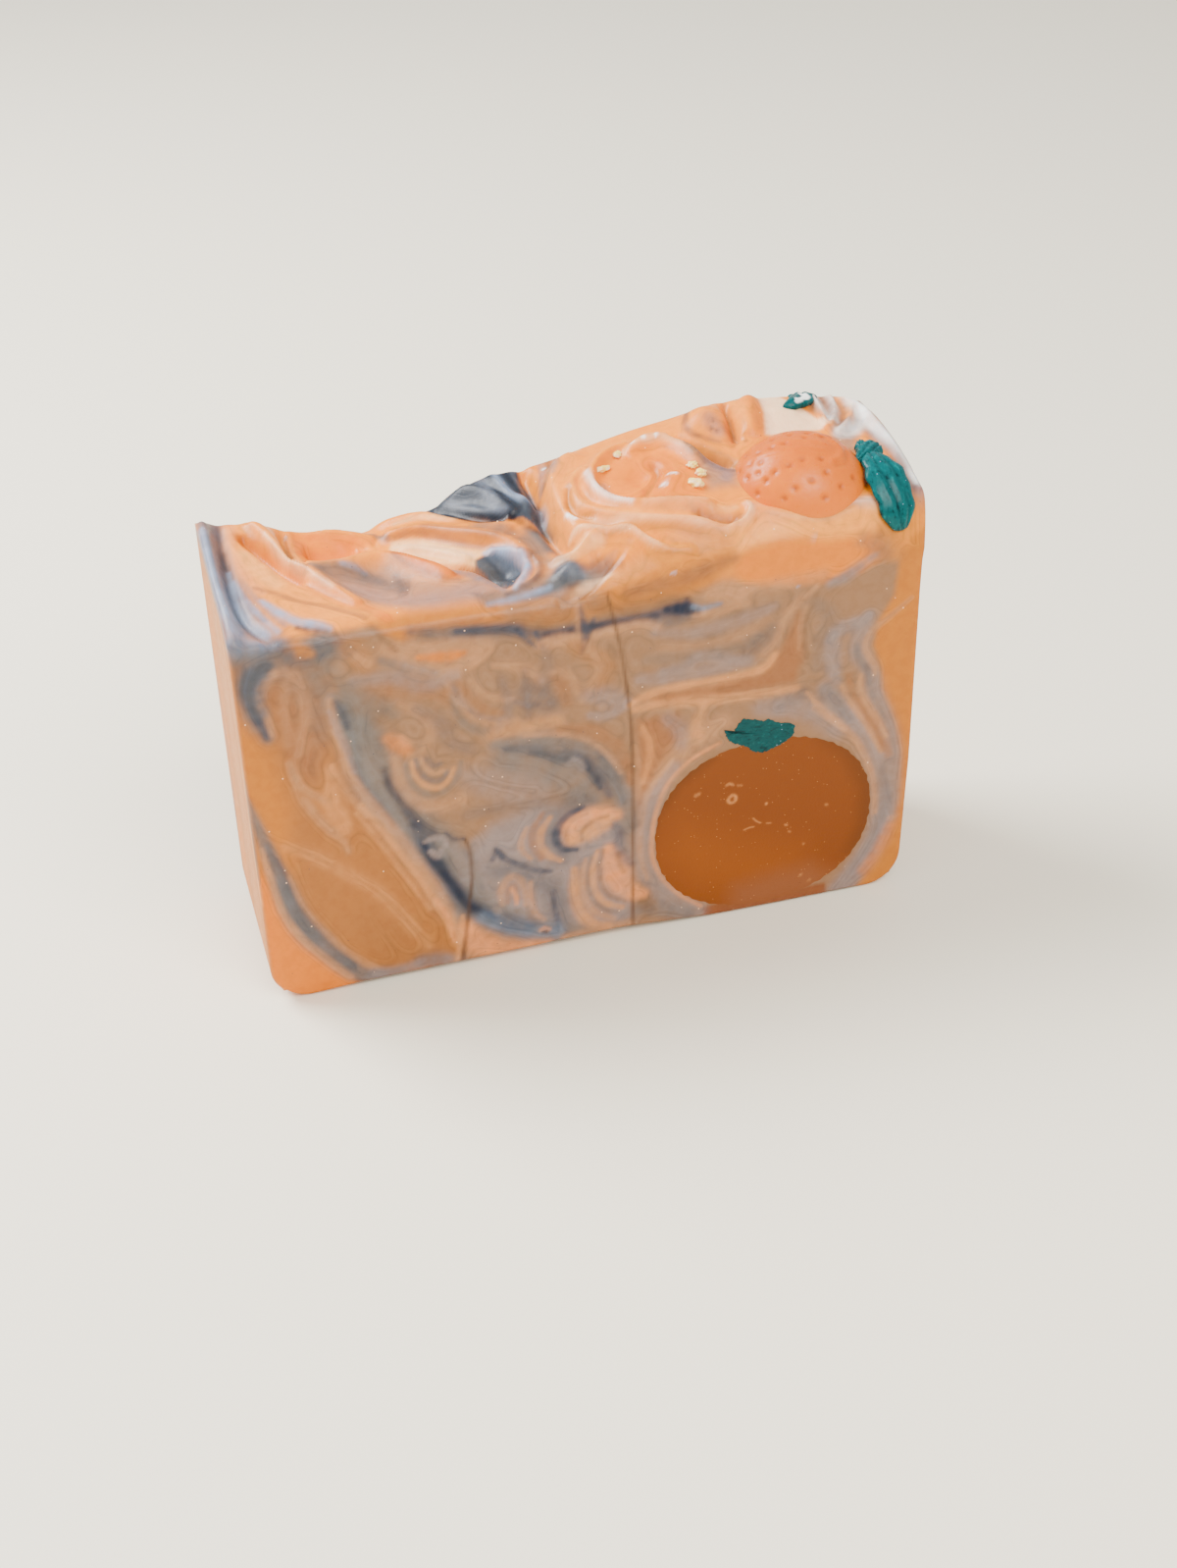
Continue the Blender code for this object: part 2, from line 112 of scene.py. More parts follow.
# Folds that the spatula left: height, width on the left and on the right of the direction of travel,
# and points (x, y), in millimetres. A negative height is a furrow.
FOLDS = [
    (1.6, 0.9, 1.1, [(-43.6, 13), (-43.9, 0), (-43.6, -13)]),
    (-0.9, 0.9, 0.7, [(-41.7, 13), (-42.2, 4), (-42.3, -4), (-41.4, -8.8), (-39, -12.6)]),
    (-1.6, 0.6, 0.8, [(-39.3, 9.8), (-37.3, 6.6), (-35.2, 2.8), (-33.2, -0.6)]),
    (1.6, 1.6, 0.9, [(-38.2, 13), (-36.3, 9.2), (-34.7, 4.8), (-32.2, 0), (-27.4, -7.4)]),
    (-1.4, 0.6, 0.6, [(-34, 12.4), (-34.1, 7.6), (-33.9, 4.4), (-32.4, 1.8)]),
    (1.6, 1.6, 1, [(-33, 13), (-30.4, 12.4), (-26.4, 10.6), (-22.6, 8.6)]),
    (-1.8, 1.8, 1.4, [(-31.8, 7.4), (-28.6, 7.2), (-25.2, 7.4)]),
    (1.4, 0.6, 2, [(-32.4, 2.8), (-28.4, 3), (-23.8, 4.2), (-20.6, 2.4), (-17.6, -1), (-15.2, -4.4)]),
    (1.5, 1.4, 1, [(-21.5, 8.8), (-16.8, 7.4), (-12.8, 4.2), (-7.8, -0.4), (-5.6, -4.6)]),
    (-1, 0.4, 0.5, [(-19.2, 2.6), (-17.1, 0), (-14.4, -1.8), (-12.1, -3.6), (-10.5, -5.8), (-9.6, -8.8)]),
    (0.7, 1, 0.5, [(-20.2, 5.2), (-17.4, 3.4), (-14.6, 0.8), (-12.4, -1.6)]),
    (1.2, 1.3, 1.6, [(-22.2, 13), (-18, 11.6), (-11.6, 8), (-6.2, 1.6)]),
    (1.5, 1, 1.6, [(-12.8, 13), (-8.4, 9.6), (-4.9, 4.2)]),
    (0.9, 0.6, 0.8, [(-6.4, 13), (-4.9, 8), (-3.2, 5.6), (-2, 3.6)]),
    (-1.1, 0.7, 0.7, [(-14.6, 11.4), (-11.9, 8.2), (-9.2, 5.2), (-6.4, 3.7)]),
    (-1.9, 0.9, 0.9, [(-2.3, 13), (-2, 6), (-2.1, 0), (-1.2, -6.4)]),
    (0.9, 0.5, 0.7, [(-10, -0.6), (-7.9, -2.4), (-6.4, -4.8), (-6.6, -7), (-8.6, -9.6)]),
    (0.5, 0.5, 0.5, [(-6.4, -3.2), (-5, -5.2), (-5.4, -8), (-8.4, -10.2)]),
    (1.5, 1.9, 1, [(4.4, 11.2), (1, 8), (-0.3, 2.8), (0, -3), (1.6, -7.4)]),
    (-0.7, 0.4, 0.4, [(1.5, 2.4), (0.8, 0.2), (1, -2.2), (3, -4)]),
    (1.1, 0.7, 1, [(4.6, 6.6), (2.2, 3.4), (2.4, -1.6), (6.6, -6.2), (13, -9.2), (19.4, -10.8)]),
    (1.6, 0.6, 1.3, [(11, 8.2), (6.8, 6.2), (4.5, 2.2), (5.3, -1.9), (8, -4.7), (13.4, -6.5), (17.6, -7.3)]),
    (1.4, 0.9, 1.3, [(10, 6), (13.5, 7.4), (16.8, 5.2), (18.6, 0)]),
    (-0.7, 0.5, 0.5, [(12.4, 2.8), (12.8, 1.1), (11.3, -0.9), (9.6, -3.4)]),
    (-1.9, 0.8, 0.8, [(16.4, 7), (19.4, 3.2), (22.4, -0.6)]),
    (1.6, 1.6, 1.6, [(28.6, 12.4), (27.2, 7.6), (26.2, 3.8)]),
    (-1.3, 0.6, 0.6, [(25.2, 12), (24.7, 7.6), (24.2, 3.6)]),
    (1, 0.5, 0.5, [(36.4, 3.6), (37.2, 8), (37.4, 12.9)]),
    (1.1, 0.6, 0.5, [(37, 3.4), (39, 7.4), (40.2, 12.9)]),
    (0.9, 0.6, 0.5, [(37.4, 2.6), (40.4, 5.6), (42.4, 9.8)]),
    (0.9, 0.8, 0.7, [(40.8, 12.9), (43.3, 9), (43.7, 2), (43.7, -6)]),
    (0.7, 0.7, 0.7, [(22, -9), (26, -10.6), (31, -11.6), (37, -10.6)]),
    (0.9, 0.4, 0.7, [(-0.4, -4.8), (3, -6.2), (6.3, -7.6), (8.2, -10.2), (10.5, -11.6), (13.6, -12)]),
    (-0.9, 0.7, 0.7, [(15, -8.4), (17.4, -9.8), (19.6, -9.8)]),
    (0.8, 0.4, 0.5, [(18.4, -11.1), (20.6, -10.4), (21.7, -9), (21.2, -7.6)]),
    (-0.8, 0.6, 0.6, [(-4.4, -12.4), (0.6, -11.4), (5, -9.6)]),
    (0.8, 0.6, 0.8, [(-3.6, -6.6), (-0.2, -7.2), (3.4, -7)]),
]
# How many widths away a fold still counts, and how much of its height is left at its ends
FOLD_REACH, FOLD_END = 3.2, 0.2
# Swellings and hollows: height, radius, centre (x, y), in millimetres
LUMPS = [
    (-1.1, 4.6, (-24.5, -3)),
    (-1.7, 2, (-9, -4.6)),
    (1.2, 1.6, (-2, -9.6)),
    (-1.2, 2.2, (10.6, 1)),
    (0.9, 1.7, (14, -1.8)),
    (1.9, 2.8, (21.6, 9.2)),
    (0.7, 3, (31.8, 8.2)),
    (-0.7, 2.2, (40.6, 1.6)),
]

# Soap paints, as linear RGB. Those that begin with "top" suit the brighter light on the top.
PAINTS = {
    "tan": (0.262, 0.134, 0.065),
    "clean": (0.335, 0.119, 0.024),
    "brown_orange": (0.276, 0.106, 0.037),
    "ochre": (0.470, 0.150, 0.012),
    "bright": (0.650, 0.168, 0.004),
    "vivid": (0.700, 0.190, 0.006),
    "band": (0.667, 0.214, 0.016),
    "pale_band": (0.920, 0.324, 0.040),
    "brown": (0.160, 0.080, 0.038),
    "grey_tan": (0.159, 0.112, 0.082),
    "grey": (0.120, 0.112, 0.108),
    "smoke": (0.070, 0.071, 0.080),
    "slate": (0.026, 0.037, 0.060),
    "ink": (0.004, 0.010, 0.028),
    "lilac": (0.234, 0.172, 0.154),
    "blue_grey": (0.133, 0.164, 0.221),
    # The colour of painted glints and glossy highlights
    "ice": (0.419, 0.575, 0.844),
    "pink": (0.463, 0.210, 0.089),
    "peach": (0.616, 0.248, 0.076),
    "pale_peach": (0.950, 0.401, 0.122),
    "blush": (0.723, 0.257, 0.079),
    # The dark of painted shade inside the seams
    "crack": (0.060, 0.027, 0.013),
    "end_peach": (0.480, 0.150, 0.014),
    "round": (0.175, 0.041, 0.002),
    "round_light": (0.227, 0.054, 0.002),
    "round_dark": (0.122, 0.031, 0.002),
    "round_bloom": (0.216, 0.066, 0.019),
    "leaf_green": (0.001, 0.080, 0.082),
    "leaf_light": (0.003, 0.150, 0.146),
    # Dark green for the leaves' darker streaks, and for the painted shade in their folds and underneath
    "leaf_dark": (0.001, 0.018, 0.020),
    "peel": (0.570, 0.110, 0.001),
    "peel_pink": (0.860, 0.205, 0.006),
    # Painted shade in the peel's pits
    "pit": (0.360, 0.055, 0.001),
    "top_orange": (0.820, 0.232, 0.008),
    "top_peach": (0.800, 0.250, 0.022),
    "top_dome": (0.780, 0.190, 0.002),
    "top_vivid": (0.620, 0.125, 0.002),
    "top_amber": (0.500, 0.115, 0.002),
    "top_tan": (0.700, 0.195, 0.004),
    "top_ochre": (0.471, 0.148, 0.011),
    "top_mauve": (0.190, 0.067, 0.033),
    "top_brown": (0.102, 0.040, 0.017),
    "top_pink": (0.757, 0.256, 0.075),
    "top_rose": (0.392, 0.168, 0.079),
    "top_fan": (0.950, 0.450, 0.150),
    # Pale cream soap, also used for painted highlights on the top
    "top_cream": (0.950, 0.590, 0.340),
    # White for painted glints and highlights on the top, and for the real white smear on the back leaf
    "top_white": (0.950, 0.950, 0.900),
    "top_lilac": (0.280, 0.150, 0.126),
    "top_grey_tan": (0.266, 0.128, 0.067),
    "top_grey": (0.085, 0.080, 0.077),
    "top_steel": (0.032, 0.038, 0.049),
    "top_slate": (0.014, 0.018, 0.026),
    "top_ink": (0.002, 0.003, 0.008),
    "top_blue": (0.101, 0.114, 0.143),
    "top_ice": (0.234, 0.292, 0.405),
    "crumb": (0.950, 0.644, 0.120),
}

# How soap takes light: its refraction, how far red, green and blue light scatter in it, and the
# shine of its skin
SOAP_IOR = 1.47
SCATTER = (1.0, 0.45, 0.25)
SOAP_SHINE, ROUND_SHINE, LEAF_SHINE, PEEL_SHINE, CRUMB_SHINE = 0.2, 0.2, 0.12, 0.25, 0.5
# Tints of the marbling's fine strands and of its clouding
LIGHT_STRAND = (1.12, 1.16, 1.22, 1.0)
DARK_STRAND = (0.76, 0.81, 0.88, 1.0)
MOTTLE = (0.92, 0.89, 0.86, 1.0)
# How much the strands wander, and how closely they lie along and across the swirls
STRAND_WANDER, STRANDS_ALONG, STRANDS_ACROSS = 0.7, 3.4, 3.0

# The marbling of the front cut. Areas: colour, softness, outline (x, z).
FRONT_AREAS = [
    ("clean", 0.6, [(-46, 51), (-41, 52), (-36, 51), (-32.5, 48), (-31.5, 45), (-33, 41.5), (-32.3, 38),
        (-31.8, 34), (-29.5, 29), (-26, 22), (-23, 16), (-20.8, 10), (-19.6, 4), (-19.2, -1), (-46, -1)]),
    ("brown_orange", 1.6, [(-40.5, 49.5), (-37, 50), (-34.5, 49), (-33.5, 44), (-34, 38), (-36, 33), (-38.5, 35),
        (-40, 42)]),
    ("ochre", 2, [(-46, 49), (-43, 44), (-41, 38), (-39.5, 30), (-40.5, 20), (-46, 13)]),
    ("bright", 0.6, [(-46, 24), (-43.6, 20), (-42, 14.5), (-40.4, 10.5), (-37, 5.5), (-34, 2), (-33, -1),
        (-46, -1)]),
    ("ochre", 0.8, [(-28, 57), (-14, 57), (-5, 57), (-5, 50.4), (-9, 50.6), (-14, 51.2), (-20, 52), (-24, 51),
        (-26.5, 53)]),
    ("band", 0.9, [(-6, 58), (10, 64), (46, 68), (46, 50.5), (36, 51.5), (30, 51), (22, 50.8), (18, 52),
        (13, 52.4), (6, 51.4), (0, 50.6), (-6, 50.4)]),
    ("ochre", 1.2, [(-6, 54), (6, 53.2), (14, 55), (17, 54), (15, 51.5), (6, 50.4), (-6, 50.2)]),
    ("pale_band", 0.9, [(17.9, 58.7), (20.3, 61), (27, 61), (27.4, 58.9), (30.7, 58.4), (34.3, 59.4), (39, 59.2),
        (37, 55.8), (31.5, 55.6), (27.2, 56.7), (24.3, 57), (21, 56.4), (18.6, 55.3)]),
    ("vivid", 0.9, [(18.6, 54.9), (21.1, 56), (24.3, 56.6), (27.2, 56.3), (31.5, 55.3), (35.9, 55.4),
        (37.8, 53.9), (38.2, 51.9), (35.4, 50.4), (31, 49.6), (25.9, 50.1), (23, 50.7), (20.1, 51.4),
        (18.3, 52.6)]),
    ("tan", 1.3, [(28.5, 48.5), (33, 49.5), (37.5, 47.5), (37.5, 44.5), (33, 42.6), (31, 40), (31, 36), (29, 38),
        (28, 43)]),
    ("tan", 1.5, [(14, 47.5), (20, 48), (26, 47.5), (24.5, 43), (22, 40.3), (16, 39.3), (10, 40), (6, 42),
        (8, 46)]),
    ("brown_orange", 0.9, [(5, 37.3), (12, 37.5), (22, 37.8), (24.5, 40.5), (27, 46), (28, 40), (27, 35.5),
        (18, 35.2), (8, 36)]),
    ("brown_orange", 1.2, [(5.5, 34), (11, 34), (12, 30), (9, 26.5), (6.5, 21), (5.3, 14), (5.3, 25)]),
    ("lilac", 1.6, [(-14, 22), (-8, 23.5), (-3, 22), (3, 20), (4.5, 12), (4.5, 2), (-3, 1.5), (-10, 3), (-14, 6),
        (-18, 12), (-18, 18)]),
    ("ochre", 0.6, [(46, 58), (40.5, 52), (40, 46), (38, 42.5), (37.5, 39), (38.7, 35.5), (39, 32), (41, 27),
        (42.2, 21), (42.2, 14), (41.2, 9), (39, 4.5), (36.3, -1), (46, -1)]),
    ("round_bloom", 0.25, [(14.6, 2), (32.2, 2), (32.6, -1), (14.2, -1)]),
]
# Strokes: colour, strength, softness, points (x, z, half width)
FRONT_STROKES = [
    ("blue_grey", 0.9, 0.8, [(-44.5, 54.2, 1), (-41, 53.6, 1.4), (-38.6, 53.8, 0.6)]),
    ("smoke", 0.6, 1.2, [(-43, 51.4, 0.6), (-40.5, 51, 1), (-36.5, 51.2, 0.5)]),
    ("ochre", 0.8, 0.8, [(-36.8, 52.6, 0.8), (-35.6, 51.4, 0.8)]),
    ("grey", 0.7, 0.9, [(-33.8, 53.4, 0.7), (-32.4, 51.8, 0.9), (-30.6, 51, 0.5)]),
    ("grey_tan", 0.8, 1, [(-34.6, 50.5, 1), (-33.4, 47.2, 1.2), (-31.8, 44.2, 1.2), (-29.6, 41, 1.4)]),
    ("slate", 0.85, 0.7, [(-40.2, 50.4, 0.4), (-42, 49.6, 0.8), (-42.8, 47.6, 0.6), (-42.6, 45.2, 0.3),
        (-41.8, 43.2, 0.45), (-41.2, 41.2, 0.1)]),
    ("grey", 0.6, 0.9, [(-41.5, 50.6, 0.9), (-43.1, 47.6, 0.8), (-42.4, 43.6, 0.8), (-41.2, 40.6, 0.2)]),
    ("slate", 0.85, 0.55, [(-40.4, 50.5, 0.5), (-42, 49.2, 0.9), (-42.7, 47, 0.65), (-42.3, 44.8, 0.4),
        (-41.6, 42.8, 0.4), (-41.2, 40.8, 0.1)]),
    ("grey_tan", 0.5, 1.4, [(-38.8, 50.2, 0.8), (-36.4, 47.8, 1.2), (-34.8, 44.2, 1), (-34, 40, 0.6)]),
    ("pink", 0.7, 0.4, [(-39.4, 49.6, 0.3), (-41, 47.9, 0.35), (-41.5, 45.6, 0.25), (-40.8, 43.2, 0.2),
        (-40.5, 41, 0.1)]),
    ("pink", 0.35, 0.6, [(-38.7, 39.6, 0.2), (-38.8, 44, 0.3), (-38.3, 47.8, 0.2)]),
    ("pink", 0.4, 0.6, [(-37.6, 37.8, 0.2), (-36.7, 41.4, 0.4), (-36.3, 45.2, 0.4), (-36.8, 48.2, 0.3),
        (-38, 49.8, 0.2)]),
    ("pink", 0.6, 0.4, [(-38.9, 36.6, 0.2), (-38.4, 34.4, 0.3), (-37.2, 32.2, 0.3), (-35.2, 30.2, 0.2)]),
    ("pink", 0.4, 0.5, [(-38.8, 35.4, 0.1), (-38.1, 31.4, 0.25), (-36.6, 28.2, 0.25), (-34.8, 25.6, 0.1)]),
    ("peach", 0.6, 0.6, [(-34, 35.2, 0.1), (-34.2, 32, 0.4), (-34.3, 29.4, 0.9), (-33.4, 26.6, 0.8),
        (-32.8, 25, 0.2)]),
    ("peach", 0.55, 0.35, [(-33.7, 35, 0.15), (-32.7, 32, 0.25), (-31.6, 29.6, 0.25), (-30.2, 26.8, 0.15)]),
    ("pink", 0.5, 0.5, [(-37.4, 30.8, 0.1), (-35.6, 26.8, 0.25), (-33.4, 23.6, 0.2), (-32.8, 21.8, 0.1)]),
    ("peach", 0.4, 0.8, [(-40.8, 24.4, 0.1), (-37.6, 22.4, 0.3), (-32.6, 17.8, 0.4), (-29.2, 14.2, 0.4),
        (-25.6, 8.2, 0.3), (-23.6, 4.4, 0.1)]),
    ("brown", 0.12, 1.5, [(-30.5, 10.5, 2), (-27.5, 4, 2), (-25, 2.6, 1)]),
    ("smoke", 0.85, 0.9, [(-40.6, 50.8, 0.6), (-41.9, 48.8, 1), (-42, 46.6, 0.7), (-41.6, 44.4, 0.3)]),
    ("smoke", 0.8, 0.9, [(-38.6, 53, 0.6), (-36.4, 51.6, 1), (-33.6, 51.6, 0.9), (-31.6, 52.6, 0.5)]),
    ("ochre", 0.7, 0.5, [(-36.4, 52.8, 0.3), (-35.6, 51.8, 0.5), (-34.9, 51.4, 0.2)]),
    # The long grey arc
    ("grey_tan", 0.95, 0.8, [(-31, 43.6, 0.9), (-29.8, 38, 2.1), (-28.9, 33.2, 2.7), (-27, 28.6, 2.6),
        (-24.2, 23.4, 2.6), (-21.4, 18.6, 2.7), (-18.6, 13, 2.2), (-15.4, 8.2, 1.6), (-11.6, 5, 1.3),
        (-7, 2.8, 1.2), (-3, 1.9, 0.8)]),
    ("grey", 0.55, 1.2, [(-30.8, 43.6, 0.6), (-29.8, 38, 1.4), (-28.7, 33.2, 1.8), (-26.8, 28.6, 1.8),
        (-24, 23.4, 1.8), (-21, 18.6, 1.9), (-18.2, 13, 1.6), (-15, 8.2, 1.1)]),
    ("grey", 0.8, 0.7, [(-33, 44.8, 0.1), (-31.8, 42, 0.5), (-31.4, 39.8, 0.5), (-31, 36, 0.5),
        (-30.4, 32.6, 0.5), (-28.6, 28.4, 0.6), (-26.2, 23.6, 0.6), (-24.2, 19.4, 0.5)]),
    ("slate", 0.6, 0.5, [(-32.6, 44, 0.1), (-31.7, 41.8, 0.25), (-31.4, 40.2, 0.1)]),
    ("slate", 0.45, 0.4, [(-32, 38.6, 0.1), (-31.3, 35.4, 0.2), (-30.2, 31.6, 0.2), (-28, 27.4, 0.2),
        (-26.8, 24.8, 0.1)]),
    ("brown", 0.5, 0.9, [(-29.4, 42.8, 0.6), (-27.8, 42.6, 0.8), (-26.8, 40.6, 0.5)]),
    ("ink", 0.7, 0.5, [(-27.3, 33, 0.1), (-26.8, 30.6, 0.3), (-25.8, 28.4, 0.25), (-24.9, 26.4, 0.35),
        (-23.8, 24.4, 0.4), (-22.4, 22.9, 0.35), (-21.2, 21.6, 0.1)]),
    ("grey", 0.6, 1.2, [(-23.4, 20.6, 0.6), (-21.4, 15.8, 1.4), (-19.6, 11.2, 1.6), (-16.4, 8.2, 1.2),
        (-12.6, 5.4, 0.8)]),
    ("slate", 0.7, 0.8, [(-24.2, 24, 0.3), (-23, 20.6, 0.6), (-22.2, 18.2, 0.8), (-20.8, 15.4, 0.9),
        (-19.4, 12.6, 0.8), (-18.2, 10.2, 0.7), (-16.2, 8.2, 0.8), (-13, 5.9, 0.9), (-9.8, 4.2, 0.5)]),
    ("ink", 0.95, 0.4, [(-23.2, 21, 0.1), (-22.4, 18.8, 0.3), (-21.4, 17, 0.55), (-20.6, 15.2, 0.35),
        (-19.4, 12.8, 0.4), (-18.5, 10.8, 0.3), (-17.4, 9.4, 0.3), (-15.4, 7.8, 0.25), (-13, 6.2, 0.15)]),
    ("lilac", 0.9, 0.3, [(-22.3, 19.5, 0.2), (-21.5, 18.8, 0.45), (-21, 19.4, 0.2)]),
    ("lilac", 0.8, 0.3, [(-23, 21.2, 0.1), (-21.8, 21.5, 0.25), (-20.4, 21.2, 0.2), (-20.3, 20, 0.15)]),
    ("slate", 0.6, 0.3, [(-20.2, 22, 0.1), (-19.2, 20.8, 0.2), (-18, 20.6, 0.15)]),
    ("lilac", 0.55, 0.7, [(-19.2, 19.4, 0.3), (-18.2, 16.6, 0.6), (-17.8, 13.6, 0.4)]),
    ("peach", 0.5, 0.5, [(-33.2, 44.6, 0.1), (-33, 41, 0.2), (-32.2, 37.6, 0.3), (-31.9, 34.6, 0.25),
        (-30.8, 31.6, 0.2), (-28.6, 27, 0.45), (-26, 21.8, 0.6), (-23.8, 17, 0.5), (-21.8, 12.4, 0.6),
        (-20.3, 8, 0.3), (-20, 4.2, 0.2)]),
    ("lilac", 0.6, 0.3, [(-33.4, 43, 0.1), (-32.7, 40.2, 0.25), (-31.6, 36.6, 0.2), (-31, 33.6, 0.15)]),
    ("peach", 0.6, 0.3, [(-30.6, 28.6, 0.1), (-28.6, 24.6, 0.2), (-26.6, 20.6, 0.2), (-24.2, 15.6, 0.2),
        (-21.6, 9.6, 0.2), (-20.4, 5.4, 0.1)]),
    ("peach", 0.5, 0.3, [(-31.4, 27.4, 0.1), (-29.2, 23.4, 0.15), (-26, 16.6, 0.15), (-23, 10.4, 0.1)]),
    ("blush", 0.45, 0.3, [(-22, 11.6, 0.1), (-20.6, 8.2, 0.15), (-20.1, 4.6, 0.1)]),
    # The grey band round the lower left corner
    ("grey", 0.95, 0.5, [(-44.6, 32, 0.1), (-43.4, 26.6, 0.45), (-42.1, 20.6, 0.85), (-41.1, 15.4, 1.1),
        (-39.6, 11, 1.25), (-37.4, 7.4, 1.2), (-35.3, 4.5, 1.1), (-33.3, 2.3, 1), (-30.8, 1.2, 0.7),
        (-28, 0.9, 0.4)]),
    ("smoke", 0.75, 0.6, [(-42.9, 25, 0.1), (-41.9, 20.6, 0.3), (-41.2, 16.4, 0.5), (-40, 12.6, 0.6),
        (-38.2, 9.2, 0.6), (-36, 6.2, 0.6), (-34, 3.6, 0.4)]),
    ("slate", 0.4, 0.4, [(-41.8, 22.6, 0.1), (-40.4, 17.4, 0.25), (-38.8, 12.8, 0.2), (-36.2, 8.8, 0.2)]),
    ("pink", 0.8, 0.3, [(-43.7, 24.6, 0.1), (-42.8, 18.6, 0.2), (-41.8, 13.4, 0.3), (-39.8, 9.2, 0.3),
        (-37, 5.2, 0.3), (-34.4, 1.8, 0.3)]),
    ("pink", 0.5, 0.3, [(-40.6, 19.6, 0.1), (-39.2, 14.4, 0.15), (-37, 10.2, 0.15), (-34.6, 6.4, 0.25),
        (-31, 2.6, 0.35)]),
    ("lilac", 0.8, 0.7, [(-31, 1.4, 0.5), (-27.2, 1.3, 0.4), (-24.2, 1.9, 0.5), (-22, 1.6, 0.6), (-19.8, 1, 0.5)]),
    ("smoke", 0.35, 1, [(-24.4, 2.4, 0.4), (-22.8, 2.2, 0.8)]),
    # The almond and the nested swirls of the upper left
    ("pink", 0.75, 0.9, [(-25.8, 50.4, 0.4), (-23.6, 49.4, 0.9), (-20.6, 49.6, 0.8), (-16.6, 49.4, 0.8),
        (-13.8, 48.8, 0.5)]),
    ("pink", 0.8, 0.6, [(-23.8, 48, 0.5), (-21.2, 46.6, 0.6), (-17.8, 46.2, 0.7), (-14.8, 46.9, 0.6),
        (-13.4, 48, 0.3)]),
    ("bright", 0.8, 0.4, [(-22, 48.5, 0.1), (-19.8, 48.1, 0.35), (-17.8, 47.9, 0.4), (-16.4, 48.1, 0.1)]),
    ("grey", 0.6, 0.6, [(-26.6, 48.9, 0.1), (-24.2, 47.8, 0.3), (-22.4, 46.9, 0.3), (-20, 45.9, 0.1)]),
    ("brown", 0.6, 0.3, [(-27.4, 54.2, 0.1), (-26.6, 52.6, 0.2), (-25.4, 50.9, 0.2), (-24.6, 50, 0.1)]),
    ("clean", 0.6, 1, [(-30.8, 53, 0.4), (-29.6, 50.6, 1), (-28.4, 48.6, 0.6)]),
    ("pink", 0.7, 0.5, [(-29.4, 50, 0.3), (-28.2, 48.8, 0.4)]),
    ("brown_orange", 0.7, 1, [(-28, 44.8, 0.7), (-24, 44.6, 0.9), (-21, 43.6, 0.6), (-18.6, 42.6, 0.7)]),
    ("grey_tan", 0.7, 0.9, [(-31, 45.8, 0.3), (-28.8, 43.6, 0.9), (-26.8, 42.4, 0.6), (-25.6, 41, 0.2)]),
    ("bright", 0.5, 0.7, [(-26.4, 37.6, 0.3), (-25.4, 36.4, 0.5), (-24.2, 35.2, 0.2)]),
    ("blush", 0.5, 0.5, [(-25, 37.4, 0.15), (-24.2, 36.2, 0.2)]),
    ("pink", 0.6, 0.5, [(-26, 34.6, 0.2), (-25.5, 31.4, 0.45), (-24.4, 28.8, 0.5), (-22.8, 26.9, 0.5),
        (-20.4, 26.2, 0.6), (-18, 26.8, 0.5)]),
    ("grey_tan", 0.7, 0.3, [(-24.6, 33.4, 0.1), (-24.3, 31.2, 0.25), (-23.2, 29.2, 0.25), (-21.2, 28.1, 0.25),
        (-19.2, 28.9, 0.2), (-18, 30.6, 0.15), (-17.6, 32.4, 0.1)]),
    ("peach", 0.6, 0.25, [(-23.8, 33.6, 0.1), (-23.5, 31.6, 0.2), (-22.4, 29.9, 0.2), (-20.8, 29.1, 0.2),
        (-19.4, 30, 0.15), (-18.6, 31.6, 0.1)]),
    ("smoke", 0.6, 0.3, [(-23.3, 33.8, 0.1), (-22.8, 31.9, 0.25), (-21.8, 30.6, 0.25), (-20.4, 30.2, 0.2),
        (-19.4, 31.2, 0.1)]),
    ("pink", 0.6, 0.25, [(-22.6, 33.8, 0.1), (-22.1, 32.4, 0.2), (-21, 31.3, 0.2), (-20, 31.6, 0.1)]),
    ("smoke", 0.5, 0.3, [(-22, 33.8, 0.2), (-21.2, 32.7, 0.3), (-20.2, 32.6, 0.1)]),
    ("grey_tan", 0.8, 0.5, [(-17.9, 43.2, 0.1), (-17.7, 40.6, 0.3), (-17, 38.2, 0.3), (-15.2, 36.6, 0.3),
        (-12.8, 36, 0.2)]),
    ("pink", 0.6, 0.5, [(-18.6, 44.6, 0.1), (-17.2, 41.6, 0.3), (-15.6, 39, 0.35), (-13.4, 37.6, 0.3),
        (-10.4, 37, 0.1)]),
    ("brown_orange", 0.6, 0.5, [(-17.2, 44.2, 0.1), (-15.8, 41.6, 0.3), (-14, 39.4, 0.3), (-12, 38.6, 0.1)]),
    ("pink", 0.5, 0.4, [(-15.8, 44, 0.1), (-14.2, 41.8, 0.25), (-12.2, 40.6, 0.2), (-10.6, 40.4, 0.1)]),
    ("smoke", 0.45, 0.4, [(-18, 43.8, 0.1), (-16.6, 40.6, 0.15), (-14.8, 38.6, 0.15), (-12.4, 37.6, 0.1)]),
    ("smoke", 0.4, 0.6, [(-11.8, 43.4, 0.2), (-11.2, 40.4, 0.3), (-11.4, 37.8, 0.4), (-12.6, 36.2, 0.2)]),
    ("pink", 0.5, 0.5, [(-12.6, 45.6, 0.2), (-10.6, 45.2, 0.4), (-8.6, 44.2, 0.4), (-7, 42.2, 0.3)]),
    ("smoke", 0.5, 1.6, [(-8.6, 40.8, 0.6), (-7.2, 39.8, 1.2), (-5.8, 38.6, 0.5)]),
    ("slate", 0.35, 0.4, [(-10.2, 39.8, 0.1), (-8.8, 39, 0.25), (-7.2, 38.8, 0.1)]),
    ("smoke", 0.35, 0.5, [(-8.8, 44, 0.1), (-8.7, 40.6, 0.3), (-8.6, 37, 0.1)]),
